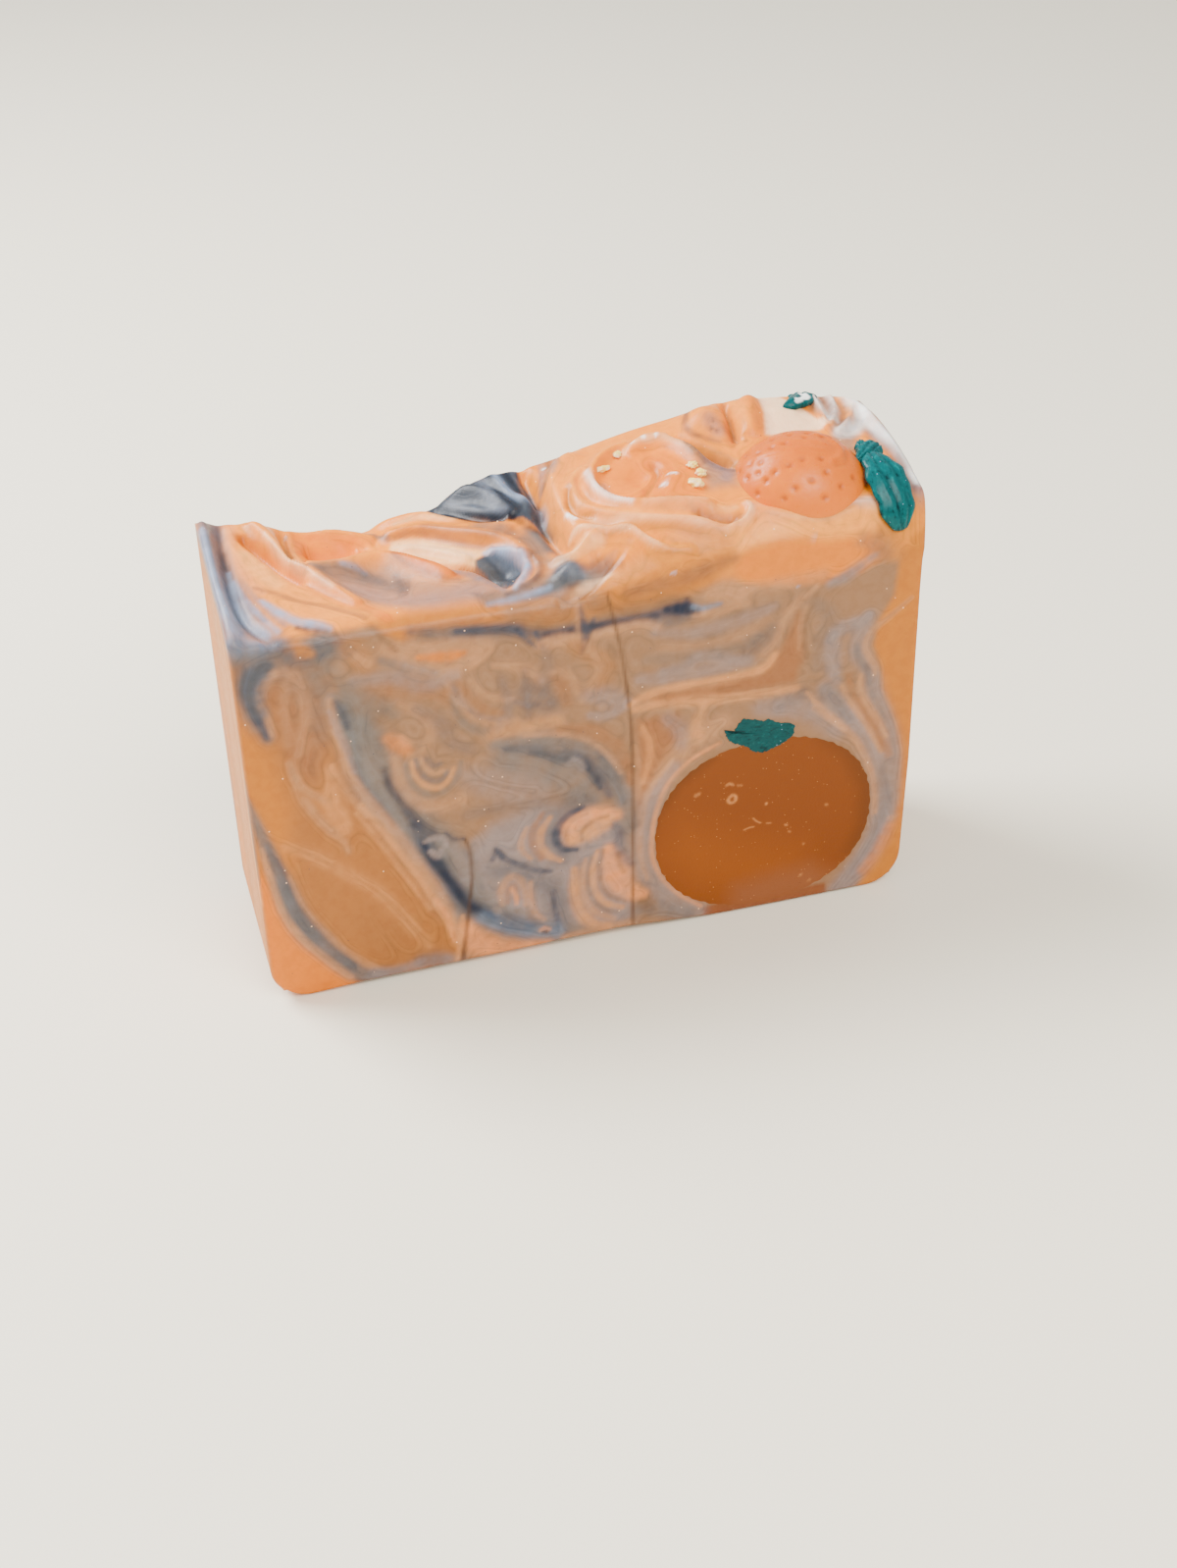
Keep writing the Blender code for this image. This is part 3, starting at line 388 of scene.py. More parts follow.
    ("pink", 0.5, 0.4, [(-5.8, 43.2, 0.1), (-4.2, 43, 0.3), (-2.8, 41.6, 0.3), (-2.2, 39.6, 0.1)]),
    ("brown_orange", 0.6, 0.7, [(-5, 42.2, 0.3), (-4.2, 41.2, 0.5), (-3.6, 38.6, 0.3)]),
    ("peach", 0.5, 0.9, [(-13, 35.6, 0.4), (-9, 35.6, 0.5), (-5.2, 35.8, 0.4)]),
    ("grey_tan", 0.5, 1, [(-10, 52.6, 0.6), (-4, 52.2, 0.8), (1, 52.4, 0.6)]),
    # The dark stripe under the top's front edge, with its drips
    ("smoke", 0.75, 0.9, [(-22.6, 52.2, 0.1), (-18, 51.3, 0.4), (-13, 50.7, 0.5), (-9.6, 50.2, 0.4)]),
    ("brown", 0.6, 1, [(-9.6, 50.6, 0.5), (-5, 49.9, 0.7), (0, 49.9, 0.9), (5, 50.2, 0.9), (10, 50.4, 0.8)]),
    ("slate", 0.85, 0.6, [(-17, 51.2, 0.1), (-13, 50.7, 0.2), (-10, 50.2, 0.3), (-7.8, 49.2, 0.25),
        (-5, 48.6, 0.35), (-2.4, 48.8, 0.3), (0.4, 48.7, 0.3), (3.2, 48.9, 0.25), (6.6, 48.8, 0.3),
        (9.4, 49, 0.5), (11.6, 49, 0.6)]),
    ("ink", 0.7, 0.4, [(-6, 48.7, 0.1), (-4.4, 48.5, 0.25), (-2.8, 48.7, 0.1)]),
    ("ink", 0.6, 0.4, [(0, 48.7, 0.1), (2.4, 48.8, 0.15), (5.6, 48.7, 0.15), (8.2, 48.8, 0.2)]),
    ("ink", 1, 0.5, [(9.6, 49.4, 0.2), (11.4, 49.3, 0.55), (12.6, 48.8, 0.5), (13.6, 48.6, 0.1)]),
    ("ink", 0.8, 0.4, [(12.2, 50.4, 0.1), (12.5, 49.4, 0.3)]),
    ("blue_grey", 0.8, 0.3, [(13, 49.2, 0.2), (14.4, 48.7, 0.25), (16.6, 49, 0.1)]),
    ("smoke", 0.6, 0.5, [(6.6, 48.4, 0.1), (8.4, 47.7, 0.3), (10.8, 47.5, 0.3), (13.6, 47.9, 0.1)]),
    ("slate", 0.75, 0.3, [(-9.6, 50, 0.15), (-8.4, 48.4, 0.2), (-7.2, 47.2, 0.05)]),
    ("slate", 0.7, 0.25, [(-7.2, 49.2, 0.15), (-6.8, 48, 0.15), (-6.5, 47, 0.05)]),
    ("slate", 0.7, 0.35, [(-1.6, 51.8, 0.1), (-1.2, 49.2, 0.3), (-1.1, 47.2, 0.3), (-1.5, 45.2, 0.05)]),
    ("slate", 0.6, 0.3, [(0.2, 49.8, 0.1), (-0.5, 48, 0.2), (-1.2, 46, 0.05)]),
    ("pink", 0.5, 0.25, [(-1.9, 53.4, 0.1), (-1.9, 50, 0.15), (-1.8, 47, 0.1)]),
    ("pink", 0.8, 0.6, [(-6.6, 47.4, 0.2), (-4.6, 47.5, 0.6), (-2.6, 47.4, 0.4)]),
    ("pink", 0.65, 0.5, [(0.4, 47.4, 0.3), (3.4, 47.7, 0.4), (6.4, 47.9, 0.35), (8.4, 47, 0.2)]),
    ("clean", 0.5, 0.8, [(-2.6, 46.4, 0.4), (-0.4, 44.8, 0.8), (1.8, 42.6, 0.8), (0.6, 40.4, 0.8)]),
    ("pink", 0.8, 0.8, [(15.4, 50.6, 0.5), (17.2, 50.8, 1.1), (19, 50, 0.6)]),
    # Painted shadow under the fold along the top's front edge
    ("brown_orange", 0.8, 0.8, [(4.6, 52.8, 0.3), (8.8, 53.2, 0.5), (12.6, 53.6, 0.6), (15.8, 54.6, 0.5),
        (18.3, 55.1, 0.2)]),
    ("grey_tan", 0.55, 0.9, [(35.4, 54.8, 0.4), (37.2, 53.8, 0.8), (38.2, 52.2, 0.6)]),
    ("smoke", 0.5, 0.4, [(31.4, 49.4, 0.1), (32.8, 49.9, 0.3), (35.3, 51, 0.1)]),
    # Painted highlights: small glints on the front cut
    ("ice", 0.5, 0.12, [(28, 56.7, 0.14), (28.9, 56.5, 0.12)]),
    ("ice", 0.5, 0.12, [(26.8, 49.6, 0.12)]),
    ("ice", 0.4, 0.12, [(10.3, 54.4, 0.1), (10.7, 54.4, 0.1)]),
    ("pink", 0.6, 0.4, [(13.2, 47.8, 0.1), (15.8, 47.9, 0.3), (18.6, 48.4, 0.3), (20.2, 48.4, 0.1)]),
    ("pink", 0.55, 0.8, [(20, 50.4, 0.3), (24.6, 50.4, 0.5), (30.2, 50.6, 0.3)]),
    ("smoke", 0.3, 0.7, [(-6.2, 47, 0.1), (-5.9, 44.2, 0.4), (-6.6, 41.4, 0.4), (-5.6, 38.8, 0.1)]),
    ("pink", 0.4, 0.5, [(-1, 46.6, 0.1), (0.6, 43.6, 0.3), (0.2, 41, 0.3), (-1.6, 38.2, 0.1)]),
    ("lilac", 0.5, 0.8, [(-30, 46.6, 0.2), (-25, 46.2, 0.5), (-21.6, 44.4, 0.5), (-17.6, 45.2, 0.2)]),
    ("pink", 0.4, 0.5, [(-24.6, 42.4, 0.1), (-22, 40, 0.3), (-21.2, 37.2, 0.3), (-22.4, 35, 0.1)]),
    ("smoke", 0.35, 0.8, [(-22.6, 41.2, 0.2), (-19.8, 38.6, 0.6), (-18.6, 35.6, 0.5), (-16, 33.8, 0.2)]),
    ("lilac", 0.5, 0.7, [(8, 46.4, 0.1), (13, 45.4, 0.4), (18.4, 46, 0.5), (23.6, 47.2, 0.2)]),
    ("pink", 0.35, 0.6, [(9, 44, 0.1), (14.4, 43.2, 0.3), (19.4, 43.8, 0.3), (22.8, 45.4, 0.1)]),
    ("grey_tan", 0.5, 0.8, [(7, 42.6, 0.2), (12.6, 42, 0.6), (18, 42.2, 0.5), (21.6, 43.2, 0.2)]),
    ("grey_tan", 0.5, 0.9, [(29.4, 46.8, 0.3), (31.2, 44.2, 0.7), (30.2, 40.6, 0.5), (29.8, 37.4, 0.2)]),
    # Bands of the right half
    ("pink", 0.6, 0.4, [(29.4, 49.2, 0.1), (27, 47.4, 0.3), (25.2, 45.2, 0.3), (24, 42.2, 0.2),
        (22.4, 40.6, 0.2)]),
    ("smoke", 0.4, 1, [(23.4, 44, 0.3), (22.2, 42.6, 0.7), (20.2, 41.4, 0.4)]),
    ("lilac", 0.6, 0.8, [(6, 39.9, 0.2), (10.2, 39.5, 0.5), (15, 39.5, 0.5), (20.4, 39.9, 0.3)]),
    ("lilac", 0.6, 0.6, [(9, 40.6, 0.1), (12, 40.8, 0.3), (13.8, 41.7, 0.4), (16.6, 41.2, 0.4), (19.6, 40, 0.2)]),
    ("lilac", 0.6, 0.9, [(-0.6, 38.8, 0.4), (1.6, 38.2, 0.8), (3.8, 37, 0.4)]),
    ("lilac", 0.6, 0.5, [(-0.6, 35.9, 0.2), (1.2, 35.4, 0.4), (3.2, 36, 0.3), (4.4, 36.8, 0.1)]),
    ("peach", 0.8, 0.4, [(4.6, 36.4, 0.1), (6.8, 37.4, 0.25), (10.2, 37.9, 0.3), (15, 37.9, 0.3), (19.8, 38, 0.3),
        (22.6, 38.5, 0.3), (24, 40.2, 0.2)]),
    ("peach", 0.7, 0.5, [(5.2, 35.6, 0.1), (8, 35.8, 0.35), (11.6, 35.5, 0.4), (15.4, 35, 0.4), (20.6, 34.7, 0.3),
        (27, 34.5, 0.2)]),
    ("brown", 0.5, 0.3, [(29.4, 48.2, 0.1), (28.4, 45.8, 0.2), (27.9, 42.2, 0.2), (28.3, 39, 0.1)]),
    ("pink", 0.4, 0.3, [(28, 46.4, 0.1), (27.3, 43.8, 0.2), (27.2, 40.4, 0.1)]),
    ("lilac", 0.7, 0.6, [(31.2, 49.3, 0.2), (33, 49.8, 0.4), (34.8, 51, 0.35), (37, 52.2, 0.1)]),
    # The large leaf's shadow, painted on the front cut below it
    ("brown", 0.35, 1.2, [(38.2, 55.8, 0.6), (38.6, 53.6, 1), (39.8, 52, 0.6)]),
    ("lilac", 0.8, 0.6, [(31.4, 41, 0.2), (32.8, 42.3, 0.6), (35.2, 42.8, 0.6), (36.6, 43.6, 0.2)]),
    ("lilac", 0.75, 0.7, [(31.9, 41.4, 0.4), (31.8, 38.6, 0.7), (32.2, 36, 0.5), (32.6, 34.6, 0.2)]),
    ("lilac", 0.7, 0.8, [(36.6, 43.4, 0.3), (35.8, 41, 0.7), (35.4, 38.6, 0.7), (36.6, 36.4, 0.6),
        (37.6, 34, 0.6), (38.2, 31.2, 0.7), (39.8, 27.4, 0.7), (41, 23, 0.7), (41.6, 18.6, 0.6),
        (41.4, 13.8, 0.7), (40.2, 8.8, 0.8), (38.2, 5, 0.9), (35.6, 1.8, 0.9), (34, 0.2, 0.8)]),
    ("smoke", 0.5, 0.4, [(35.2, 39.4, 0.1), (35.5, 37.6, 0.25), (37, 35, 0.25), (37.2, 33.2, 0.1)]),
    ("pink", 0.6, 0.3, [(42.4, 45.2, 0.1), (39.6, 43, 0.2), (37, 41, 0.25), (36.4, 38.8, 0.25), (37.8, 36, 0.25),
        (37.9, 34.6, 0.1)]),
    ("smoke", 0.5, 1, [(28, 33.6, 0.3), (26.2, 32.9, 0.6), (24.6, 32, 0.2)]),
    ("lilac", 0.7, 1.2, [(22.4, 32.4, 0.4), (27, 31.6, 0.8), (30.2, 30, 0.8), (33, 27.4, 0.9)]),
    ("lilac", 0.8, 0.8, [(31, 33.8, 0.5), (32.6, 31.6, 0.8), (35.2, 28.2, 0.9), (37.2, 24.8, 0.8),
        (38.8, 20.8, 0.9), (39.8, 16.4, 0.9), (39.9, 11.6, 0.9), (38.8, 7, 1), (36.6, 3.2, 1.1), (34.6, 0.4, 1)]),
    ("smoke", 0.45, 0.6, [(31.2, 33.4, 0.5), (32.4, 31.6, 0.5), (34.6, 28.4, 0.2)]),
    ("smoke", 0.3, 0.6, [(39.6, 19.6, 0.1), (40.3, 15.4, 0.4), (40.1, 10.6, 0.4), (38.8, 6.6, 0.4),
        (36.6, 3.2, 0.4)]),
    ("brown_orange", 0.7, 0.4, [(34.2, 35, 0.2), (35, 32, 0.3), (36.2, 29.4, 0.35), (38.2, 25.8, 0.3),
        (39.6, 22.4, 0.1)]),
    ("brown_orange", 0.7, 0.5, [(36.2, 31, 0.2), (37.6, 28.2, 0.5), (39.2, 25.2, 0.5), (40.6, 21.6, 0.2)]),
    ("pink", 0.7, 0.25, [(33.4, 33.6, 0.1), (34.6, 31, 0.2), (37, 27, 0.2), (39.4, 22.2, 0.1)]),
    ("pink", 0.7, 0.3, [(28.6, 33.6, 0.1), (30.4, 31, 0.2), (33.2, 28, 0.25), (35.8, 24.6, 0.3),
        (37.6, 20.8, 0.3), (38.8, 16.6, 0.25), (39, 12.4, 0.2)]),
    ("pink", 0.6, 0.3, [(29.6, 31, 0.1), (32.2, 28.6, 0.2), (34, 26.8, 0.2)]),
    ("pink", 0.7, 0.3, [(35.9, 34.8, 0.1), (36, 32.6, 0.25), (37.2, 30, 0.25), (39.2, 26.4, 0.2),
        (40, 24.6, 0.1)]),
    ("pink", 0.5, 0.3, [(41.2, 11, 0.1), (42.2, 11, 0.1)]),
    ("bright", 0.5, 0.7, [(37.8, 3, 0.3), (39.6, 5.6, 0.3), (41.4, 9.6, 0.3)]),
    # Round the disc's left side
    ("pink", 0.7, 1, [(17, 31.4, 0.4), (13.6, 29.6, 1), (10.4, 27, 0.8), (7.6, 22.8, 0.7)]),
    ("lilac", 0.8, 0.7, [(10.6, 25.8, 0.3), (7.4, 21, 0.8), (6.3, 16, 0.9), (6.4, 11, 1), (8, 7, 1.2),
        (10.6, 3.8, 1.3), (13.6, 1.4, 1)]),
    ("blush", 0.6, 0.3, [(16.6, 28.2, 0.05), (12.8, 26.4, 0.08), (9.8, 23.6, 0.1), (8.2, 20.2, 0.1),
        (7.4, 16.2, 0.1), (7.4, 11.8, 0.08), (8.8, 8, 0.08), (11.2, 4.8, 0.08), (14.2, 2.2, 0.05)]),
    ("pink", 0.5, 0.3, [(10.2, 27, 0.1), (7.2, 23, 0.2), (5.9, 18.4, 0.25), (5.7, 12.6, 0.2), (6.6, 8.6, 0.1)]),
    ("pink", 0.45, 0.3, [(5.4, 30.2, 0.1), (5.7, 26.8, 0.2), (5.4, 22, 0.15)]),
    ("peach", 0.6, 0.35, [(6.2, 32.8, 0.1), (7.2, 30, 0.3), (7, 27, 0.3), (6.2, 24.2, 0.1)]),
    ("lilac", 0.5, 0.8, [(9.6, 33.4, 0.3), (11.2, 31.4, 0.6), (11.4, 29, 0.3)]),
    ("peach", 0.5, 0.6, [(14.4, 34, 0.2), (13.4, 31.4, 0.4), (14, 29.8, 0.2)]),
    ("grey", 0.6, 0.8, [(5.6, 3.6, 0.4), (9.2, 2.6, 0.7), (12.2, 1.3, 0.6)]),
    ("brown", 0.5, 1, [(5.6, 6.6, 0.4), (6.6, 5, 0.8), (7, 3.6, 0.3)]),
    # The great arc of the middle
    ("grey", 0.75, 1, [(-13, 34, 0.2), (-9.6, 33.6, 0.6), (-5.6, 32.8, 0.9), (-2.2, 31, 1), (0.6, 28.2, 1),
        (2.6, 24.8, 0.9), (3.9, 21.2, 0.7), (4.4, 17.6, 0.4)]),
    ("slate", 0.7, 0.7, [(-11.6, 33, 0.1), (-8.4, 32.3, 0.3), (-5.4, 30.6, 0.5), (-2.6, 30, 0.6),
        (-0.8, 28.2, 0.5), (0.6, 25.4, 0.4), (1.6, 23.2, 0.1)]),
    ("ink", 0.85, 0.35, [(-8.6, 31.9, 0.1), (-6.8, 31.2, 0.2), (-5.2, 30.2, 0.3), (-3.8, 29.8, 0.2)]),
    ("ink", 0.9, 0.35, [(-2.4, 30, 0.1), (-1.5, 28.9, 0.3), (-0.9, 27.4, 0.25), (-0.2, 26, 0.25),
        (0.4, 24.6, 0.1)]),
    ("lilac", 0.8, 0.4, [(-3.6, 29.2, 0.2), (-2.6, 29.4, 0.35), (-1.9, 28.2, 0.2)]),
    ("smoke", 0.6, 0.5, [(0.2, 30.2, 0.1), (1.6, 27.4, 0.3), (2.8, 24.4, 0.3), (3.6, 21.6, 0.1)]),
    ("brown_orange", 0.7, 0.6, [(-4.6, 34.4, 0.3), (-0.6, 33.6, 0.6), (2.4, 31, 0.6), (4, 27.6, 0.4),
        (4.6, 24.4, 0.1)]),
    ("pink", 0.5, 0.3, [(-9.2, 34.6, 0.1), (-4.8, 33.9, 0.2), (-1.2, 32.4, 0.2), (1.4, 29.8, 0.2),
        (3.2, 26.4, 0.1)]),
    ("grey", 0.7, 1.6, [(-12, 31.4, 0.8), (-7.4, 29.4, 1.6), (-3.8, 27, 1.6), (-1.4, 23.8, 0.8)]),
    ("lilac", 0.5, 1.4, [(-16.6, 30, 0.6), (-12.6, 27.6, 1.4), (-8.4, 26, 1.2)]),
    ("smoke", 0.35, 0.9, [(-17, 24.2, 0.3), (-12, 24.2, 0.5), (-7, 23.8, 0.5), (-2, 24, 0.3)]),
    # The pale comma and its rings
    ("smoke", 0.6, 1.2, [(-0.6, 22.6, 0.2), (-4, 22.2, 0.6), (-6.2, 20, 0.9), (-6.6, 17.6, 0.8),
        (-5.2, 15.2, 0.6)]),
    ("blush", 0.9, 0.5, [(-3.8, 17.6, 0.6), (-3.6, 19.4, 1.1), (-1.8, 20.4, 0.9), (0.6, 20.4, 0.8),
        (2.6, 19.9, 0.4)]),
    ("peach", 0.85, 0.6, [(-3.2, 17.2, 0.6), (-1.2, 18, 0.9), (0.8, 18.8, 0.7), (1.8, 19.4, 0.3)]),
    ("brown", 0.6, 0.25, [(-2.2, 16.8, 0.1), (-2.1, 18.4, 0.15), (-0.6, 19.6, 0.15), (1.4, 20, 0.1)]),
    ("brown", 0.4, 0.25, [(-4.2, 17, 0.1), (-4.4, 18.6, 0.15), (-3.4, 20.2, 0.15), (-1.4, 21, 0.1)]),
    ("slate", 0.9, 0.4, [(-2, 22, 0.1), (-3.8, 21.3, 0.3), (-5.1, 20, 0.3), (-5.7, 18.4, 0.4), (-5.5, 16.9, 0.3),
        (-4.5, 15.9, 0.2), (-3, 15.5, 0.1)]),
    ("peach", 0.6, 0.35, [(-6.4, 21.4, 0.1), (-7.7, 19.4, 0.3), (-7.8, 17.2, 0.3), (-6.8, 15.4, 0.3),
        (-5.2, 14.2, 0.1)]),
    ("brown_orange", 0.6, 0.35, [(-7.4, 22.2, 0.1), (-8.8, 19.8, 0.3), (-8.8, 17.4, 0.3), (-7.8, 15.2, 0.2)]),
    ("pink", 0.6, 0.3, [(-9.6, 20.4, 0.1), (-10.4, 18.4, 0.25), (-10.2, 16.8, 0.2), (-9.2, 15.4, 0.1)]),
    ("slate", 0.75, 0.35, [(-13.8, 18, 0.1), (-12.8, 16.5, 0.25), (-11.3, 15.2, 0.2), (-9.8, 14.2, 0.25),
        (-8.3, 13.3, 0.2), (-6.6, 12.8, 0.1)]),
    ("slate", 0.7, 0.4, [(-14.4, 16.4, 0.1), (-13.6, 17.4, 0.3), (-13, 16.4, 0.1)]),
    # The pale crescent and its rings
    ("blush", 0.9, 0.6, [(1.4, 14.6, 0.4), (1.9, 12.4, 1.2), (2.4, 10, 1.5), (3.4, 8, 1.2), (4.8, 6.6, 0.8),
        (6, 6.2, 0.3)]),
    ("brown", 0.5, 0.25, [(0.6, 14.6, 0.1), (0, 12, 0.2), (0.2, 9.4, 0.2), (1.4, 7, 0.2), (3.4, 5.6, 0.1)]),
    ("peach", 0.7, 0.3, [(-0.2, 14.6, 0.1), (-0.9, 11.6, 0.3), (-0.7, 8.6, 0.3), (0.6, 6, 0.3), (3, 4.6, 0.2)]),
    ("brown", 0.5, 0.25, [(-1, 14, 0.1), (-1.7, 11, 0.2), (-1.3, 7.8, 0.2), (0.2, 5.2, 0.2), (2.4, 3.8, 0.1)]),
    ("pink", 0.7, 0.3, [(-1.8, 13.6, 0.1), (-2.4, 10.6, 0.3), (-2, 7.2, 0.3), (-0.6, 4.6, 0.3), (1.8, 3, 0.2)]),
    ("brown", 0.4, 0.3, [(-2.6, 13, 0.1), (-3, 9.8, 0.2), (-2.6, 6.4, 0.2), (-1.2, 3.8, 0.1)]),
    ("peach", 0.75, 0.5, [(-3.4, 12.4, 0.1), (-3.5, 8.6, 0.4), (-2.9, 5.4, 0.5), (-1.2, 2.9, 0.5), (1, 1.9, 0.3)]),
    ("slate", 0.55, 0.6, [(2.2, 18.6, 0.2), (2.9, 16.4, 0.4), (2.6, 14.6, 0.4), (3.4, 12.8, 0.4),
        (4.4, 11.6, 0.1)]),
    ("brown", 0.5, 0.3, [(2.6, 13.6, 0.1), (2.8, 11.8, 0.15), (3.4, 10.4, 0.1)]),
    # The rings of the lower left
    ("smoke", 0.55, 1, [(-15, 14.6, 0.3), (-11.6, 13.8, 0.6), (-8.6, 12, 0.6), (-6.2, 9, 0.9), (-5.6, 5.4, 0.8),
        (-6.4, 3.2, 0.4)]),
    ("pink", 0.6, 0.4, [(-13.4, 8.8, 0.1), (-13.4, 11.2, 0.3), (-12.2, 13, 0.3), (-10.8, 12.4, 0.25),
        (-10.2, 10.2, 0.2), (-10.2, 8.2, 0.1)]),
    ("brown_orange", 0.5, 0.3, [(-12.6, 9, 0.1), (-12.4, 11, 0.25), (-11.6, 11.6, 0.2), (-11.2, 9.4, 0.15)]),
    ("blush", 0.6, 0.25, [(-12, 11.2, 0.1), (-11.5, 9.8, 0.15), (-11.4, 8.6, 0.1)]),
    ("pink", 0.6, 0.3, [(-9.4, 11.6, 0.1), (-9.4, 8.6, 0.25), (-8.9, 6.4, 0.25), (-7.8, 5, 0.1)]),
    ("grey_tan", 0.8, 0.4, [(-14.2, 8.6, 0.2), (-13.4, 6.6, 0.4), (-11, 4.8, 0.3)]),
    ("brown", 0.5, 0.4, [(-10, 7.6, 0.1), (-9.4, 5.4, 0.3), (-8, 3.8, 0.1)]),
    ("slate", 0.6, 0.3, [(-6.4, 9.4, 0.1), (-6.3, 7.2, 0.2), (-6, 5, 0.25), (-5.8, 3.4, 0.1)]),
    ("lilac", 0.5, 0.6, [(-16.4, 19.6, 0.3), (-15.8, 15.4, 0.5), (-15, 11.4, 0.4), (-13.8, 8, 0.2)]),
    ("blue_grey", 0.7, 1, [(-16, 7.4, 0.3), (-12.6, 5, 0.7), (-9, 3.4, 0.8), (-6, 2.6, 0.6)]),
    ("slate", 0.35, 0.6, [(-15.4, 7.6, 0.1), (-12.4, 5.4, 0.4), (-10, 4.2, 0.2)]),
    ("blush", 0.9, 0.7, [(-18.4, 6.4, 0.5), (-17.2, 3.6, 1.4), (-14.8, 2, 1.1), (-11.4, 1.1, 0.7),
        (-7.6, 0.7, 0.4)]),
    ("pink", 0.7, 0.5, [(-5, 1.3, 0.3), (0, 1.5, 0.4), (4, 1.6, 0.4)]),
    ("blush", 0.5, 0.3, [(-8.3, 3.4, 0.1), (-7.8, 3.6, 0.15), (-7.2, 3.3, 0.1)]),
    ("crack", 0.8, 0.2, [(-8, 3, 0.1), (-7.5, 2.9, 0.12)]),
    # The two seams that the cutter left: dark lines of painted shade in them, and beside the first a pale line of
    # painted highlight
    ("peach", 0.6, 0.25, [(-18.8, 8.2, 0.1), (-19.1, 6, 0.2), (-19.6, 2.6, 0.3), (-19.9, 0.6, 0.2)]),
    ("crack", 0.75, 0.25, [(-17.7, 20.4, 0.05), (-17.2, 18.2, 0.12), (-17.2, 14, 0.1), (-17.7, 10.4, 0.1),
        (-18.4, 5.6, 0.14), (-19.1, 1.6, 0.16), (-19.3, 0.6, 0.1)]),
    ("crack", 0.7, 0.2, [(2, 52.6, 0.05), (2.8, 48.8, 0.1), (3.5, 45, 0.09), (4.1, 40.4, 0.09), (4.6, 35.2, 0.1),
        (4.8, 30, 0.08), (4.8, 22, 0.08), (4.7, 15, 0.09), (4.6, 8, 0.1), (4.5, 1.2, 0.1)]),
]

# The marbling of the top. Areas: colour, softness, outline (x, y).
TOP_AREAS = [
    ("top_peach", 1.5, [(-46, 14), (-30, 14), (-24, 0), (-26, -14), (-46, -14)]),
    ("top_dome", 0.7, [(-33.2, 12.4), (-30, 12.1), (-27.9, 10.1), (-24.9, 9.3), (-23.4, 4.5), (-26.3, 3.6),
        (-28.6, 3.4), (-31.1, 3), (-32.6, 3.4), (-32.9, 9.6)]),
    ("top_rose", 1.8, [(-31.4, 1.6), (-24, 2.2), (-21.6, 2), (-19.4, -2.4), (-16, -5.4), (-12.6, -5),
        (-10.4, -9.4), (-13.5, -11), (-22, -10.4), (-27, -6)]),
    ("top_ochre", 1, [(-29, -14), (-27.5, -11), (-20, -10.8), (-12, -11.8), (-7, -12.4), (-7, -14)]),
    ("top_orange", 0.7, [(-24.5, 14), (-23.5, 10.3), (-20.4, 7.4), (-15.5, 5.4), (-15, 14)]),
    ("top_tan", 0.6, [(-21, 9.6), (-17.8, 9.9), (-13.9, 7.9), (-11, 6.5), (-8.5, 3.9), (-5.9, 1.7), (-4.8, -0.8),
        (-7.8, -1.9), (-10.5, 0.1), (-13.1, 2.7), (-17.5, 6.6), (-20.5, 7.6)]),
    ("top_fan", 0.3, [(-20.8, 7.2), (-19.5, 7), (-17.7, 6.4), (-15.7, 4.8), (-13.7, 2.8), (-11.8, 0.9),
        (-9.7, -0.7), (-10.8, -0.9), (-11.6, -1.4), (-12.2, -2.8), (-13.6, -1.7), (-15.4, -1), (-17.3, 0.1),
        (-18.9, 2.1), (-19.9, 4.1), (-21.6, 4.8)]),
    ("top_steel", 0.4, [(-15.5, 14), (-14.7, 9.7), (-13.7, 8.6), (-12.3, 7.7), (-10, 6.1), (-8.3, 4.5),
        (-6.3, 3.7), (-4.4, 3.1), (-3.7, 1.7), (-3, 0.6), (-2.1, -0.7), (-1.5, -2.4), (-1.7, 2.1), (-1.6, 5.4),
        (-1.8, 9), (-2.5, 11.2), (-2.6, 14)]),
    ("top_grey", 1, [(-4.8, 1.2), (-2.8, 0.2), (-1.8, -4), (-3.6, -8.4), (-8.4, -9.8), (-14, -9.4), (-13, -11.6),
        (-4, -12.6), (1.6, -12.2), (3.4, -10.6), (0, -9.8), (-2.6, -5), (-5.2, -4.4)]),
    ("top_steel", 0.35, [(-11.9, -1.7), (-10.6, -1), (-8.8, -1.6), (-7.4, -3.3), (-6.8, -5.1), (-6.9, -6.3),
        (-7.9, -7.6), (-8.8, -9.3), (-9.4, -9), (-10.3, -6.4), (-11.3, -4.2), (-12.2, -2.9)]),
    ("top_tan", 0.35, [(-2.6, 14), (-2.4, 11.2), (-1.8, 8.9), (-1.5, 5.5), (-1.1, 6.9), (0, 8.9), (0.1, 11.6),
        (0.4, 14)]),
    ("top_dome", 1, [(5.6, 3.6), (8.4, 5.6), (10.4, 6.2), (14.6, 6.2), (17, 4), (18.4, -2), (16.4, -6.6),
        (10.4, -5.6), (7.4, -4.2), (5.9, -1.6)]),
    ("top_rose", 1.2, [(16.6, 5.6), (19, 4.4), (22.2, -0.4), (21.6, -4.6), (17.8, -4.6), (17.6, 1)]),
    ("top_cream", 0.35, [(29.9, 13.8), (32.4, 13.6), (35.4, 8.2), (37.2, 4.2), (33.4, 4), (28.2, 4), (29.4, 8)]),
    ("top_rose", 0.8, [(35.8, 14), (36.2, 8.4), (37.4, 4.6), (36.2, 1.6), (38.4, -1.4), (40.6, 3.6), (46, 4.6),
        (46, 14)]),
    ("top_lilac", 0.9, [(41.8, 4), (46, 4), (46, -13.6), (43.4, -13.6), (42.4, -8.4), (42.8, -3)]),
]
